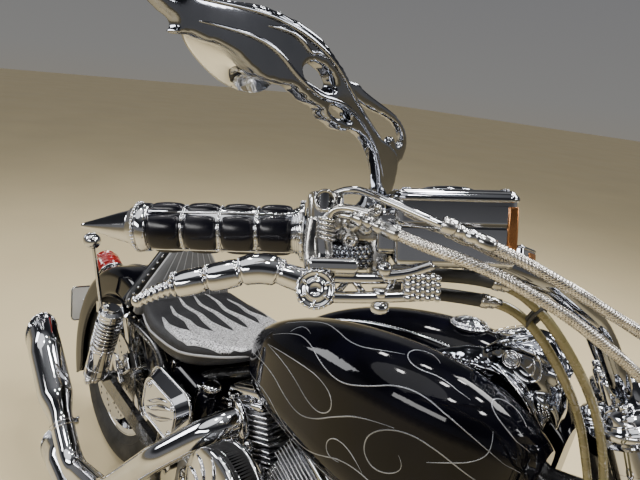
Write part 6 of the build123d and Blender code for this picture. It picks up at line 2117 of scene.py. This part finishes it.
# ---- dampers: exposed springs and rings ----
dp = Build()
for s in (1, -1):
    a, b = V((38, s * 160, 345)), V((100, s * 160, 615))
    d = (b - a).normalized()
    _d, e1, e2 = basis(d)
    line = []
    for i in range(7 * 22):
        t = 143 + 88 * i / (7 * 22)
        an = 2 * math.pi * i / 22
        line.append(a + d * t + (e1 * math.cos(an) + e2 * math.sin(an)) * 33.4)
    dp.add(*tube(line, 3.9, 8))
    for t in (26, 34, 60, 128, 138, 240, 250, 262):
        dp.add(*torus(a + d * t, d, 34.0, 1.6, 40, 6))
    for q in (a, b):
        dp.add(*lathe(q + V((0, s * 14, 0)), q + V((0, s * 28, 0)), [(0, 15), (6, 15), (8, 12.5), (12, 12), (14, 9)], 6))
    dp.add(*lathe(REAR_C + V((0, s * 119, 0)), REAR_C + V((0, s * 134, 0)), [(0, 21), (4, 21), (5, 17), (13, 16), (15, 12)], 6))
dp.obj("damper_springs_and_nuts", CHROME, "chassis", slot="chrome")


# ---- mudguards: crest; frame, pegs, stand ----
def crest(node, M, c, r_min, body, name):
    t = tree(node)
    Mi = M.inverted()
    line = []
    for k in range(0, 361, 3):
        a = math.radians(k - 90)
        d = V((math.cos(a), 0, math.sin(a)))
        o = c + d * 600
        h = t.ray_cast(M @ o, (M.to_3x3() @ -d).normalized())
        if h[0] is None:
            continue
        p = Mi @ h[0]
        r = math.hypot(p.x - c.x, p.z - c.z)
        if r > r_min:
            line.append((k, p + d * 2.6))
    out = Build()
    if len(line) > 5:
        runs, cur = [], [line[0]]
        for q in line[1:]:
            if q[0] - cur[-1][0] > 4:
                runs.append(cur)
                cur = []
            cur.append(q)
        runs.append(cur)
        for rr in runs:
            if len(rr) > 5:
                pts = even([q[1] for q in rr], 10)
                out.add(*tube(pts, lambda u, a, d: 3.6 * (0.35 + 0.65 * min(1, 5 * u, 5 * (1 - u))), 8))
    if out.v:
        out.obj(name, CHROME, body, slot="chrome")


def guard(c, r_out, half, skirt, a0, a1, body, name, node):
    """Mudguard with a rounded crown, rounded ends and a rolled edge."""
    corner, wall, n_a = 34.0, 4.0, 96
    outer_rows = []
    vs, fs, low_l, low_r = [], [], [], []
    w = 0
    for i in range(n_a + 1):
        a = a0 + (a1 - a0) * i / n_a
        u = min(1.0, min(a - a0, a1 - a) / 13.0)
        depth = corner + (skirt - corner) * (0.10 + 0.90 * math.sqrt(max(0.0, 1 - (1 - u) ** 2)))
        row = []
        for off in (0.0, wall):
            h, ro, cr_ = half - off, r_out - off, corner - off
            line = []
            for k in range(4):
                line.append((-h, r_out - depth + (depth - corner) * k / 3))
            for k in range(1, 11):
                f = math.pi / 2 * k / 10
                line.append((-h + cr_ * (1 - math.cos(f)), ro - cr_ + cr_ * math.sin(f)))
            flat = h - cr_
            for k in range(1, 13):
                y = -flat + 2 * flat * k / 12
                line.append((y, ro + 2.0 * (1 - (y / flat) ** 2)))
            for k in range(1, 11):
                f = math.pi / 2 * (1 - k / 10)
                line.append((h - cr_ * (1 - math.cos(f)), ro - cr_ + cr_ * math.sin(f)))
            for k in range(1, 4):
                line.append((h, r_out - corner - (depth - corner) * k / 3))
            row += line if off == 0 else line[::-1]
        sa, ca = math.sin(math.radians(a)), math.cos(math.radians(a))
        w = len(row)
        vs += [c + V((r * sa, y, r * ca)) for y, r in row]
        low_l.append(c + V(((r_out - depth) * sa, -half + 1.6, (r_out - depth) * ca)))
        low_r.append(c + V(((r_out - depth) * sa, half - 1.6, (r_out - depth) * ca)))
        if i in (0, n_a):
            outer_rows.append([c + V(((r - 2) * sa, y * 0.985, (r - 2) * ca)) for y, r in row[:w // 2]])
    for i in range(n_a):
        for j in range(w):
            k = (j + 1) % w
            fs.append((i * w + j, i * w + k, (i + 1) * w + k, (i + 1) * w + j))
    half_w = w // 2
    for base in (0, n_a * w):
        for j in range(half_w - 1):
            q = (base + j, base + j + 1, base + w - 2 - j, base + w - 1 - j)
            fs.append(q if base else q[::-1])
    out = Build()
    out.add(vs, fs)
    loop_ = low_l + outer_rows[1] + low_r[::-1] + outer_rows[0][::-1]
    out.add(*tube(even(loop_ + [loop_[0]], 5), 3.2, 10, cap=False))
    out.obj(name, BLACK, body, slot="black_paint", replaces=(node,))


guard(AXLE_F, R_FRONT + 20, 70, 70, -112, 28, "steering", "front_mudguard_rolled", "front_mudguard")
guard(REAR_C, R_REAR + 26, 90, 96, -118, 62, "chassis", "rear_mudguard_rolled", "rear_mudguard")
crest("front_mudguard", TURN, AXLE_F, R_FRONT + 12, "steering", "front_mudguard_crest")
crest("rear_mudguard", PARK, REAR_C, R_REAR + 16, "chassis", "rear_mudguard_crest")

rub, pg = Build(), Build()
for s in (1, -1):
    for k in range(12):
        rub.add(*torus(V((1150, s * (168 + 10 * k), 262)), (0, 1, 0), 18.6, 3.0, 28, 6))
    pg.add(*lathe(V((1150, s * 294, 262)), V((1150, s * 306, 262)), [(0, 16), (2, 20), (6, 20), (9, 15), (11, 8), (11.4, 1)], 36))
    for k in range(5):
        rub.add(*torus(V((1280, s * (208 + 11 * k), 346)), (0, 1, 0), 11.2, 2.4, 28, 8))
    pg.add(*ball(V((1280, s * 264, 346)), 11, 20, 12))
    for x, z in ((1082, 228), (1082, 268), (1172, 246)):
        pg.add(*bolt(V((x, s * 150, z)), (0, s, 0), 6, 8))
    pg.add(*lathe(V((418, s * 110, 300)), V((418, s * 124, 300)), [(0, 30), (3, 31), (6, 28), (7, 20), (13, 18), (14, 8)], 6))
rub.obj("foot_control_rubbers", RUBBER, "chassis", slot="black_paint")
pg.obj("foot_control_caps_and_bolts", CHROME, "chassis", slot="chrome")
st = Build()
a, b = V((752, 166, 158)), V((836, 268, 78))
d = (b - a).normalized()
_d, e1, e2 = basis(d)
line = []
for i in range(16 * 14):
    an = 2 * math.pi * i / 14
    line.append(a + d * (14 + 74 * i / (16 * 14)) + e2 * 22 + (e1 * math.cos(an) + e2 * math.sin(an)) * 5.4)
st.add(*tube([a, a + d * 8 + e2 * 20] + line[:1], 1.7, 8))
st.add(*tube(line, 1.6, 8))
st.add(*tube(line[-1:] + [a + d * 96 + e2 * 18, a + d * 104 + e2 * 4], 1.7, 8))
st.obj("side_stand_spring", WORN_CHROME, "side_stand", slot="chrome")
hs = Build()
hp = [V((180, -118, 607)), V((180, -150, 634)), V((179, -160, 668)), V((172, -46, 838)), V((170, 0, 864))]
for s in (1, -1):
    for k, p in enumerate(even([V((p.x + 5.0, s * p.y, p.z)) for p in hp], 21)):
        hs.add(*ball(p, 4.2, 12, 8, (0.6, 1, 1)))
hs.obj("hoop_studs", CHROME, "chassis", slot="chrome")
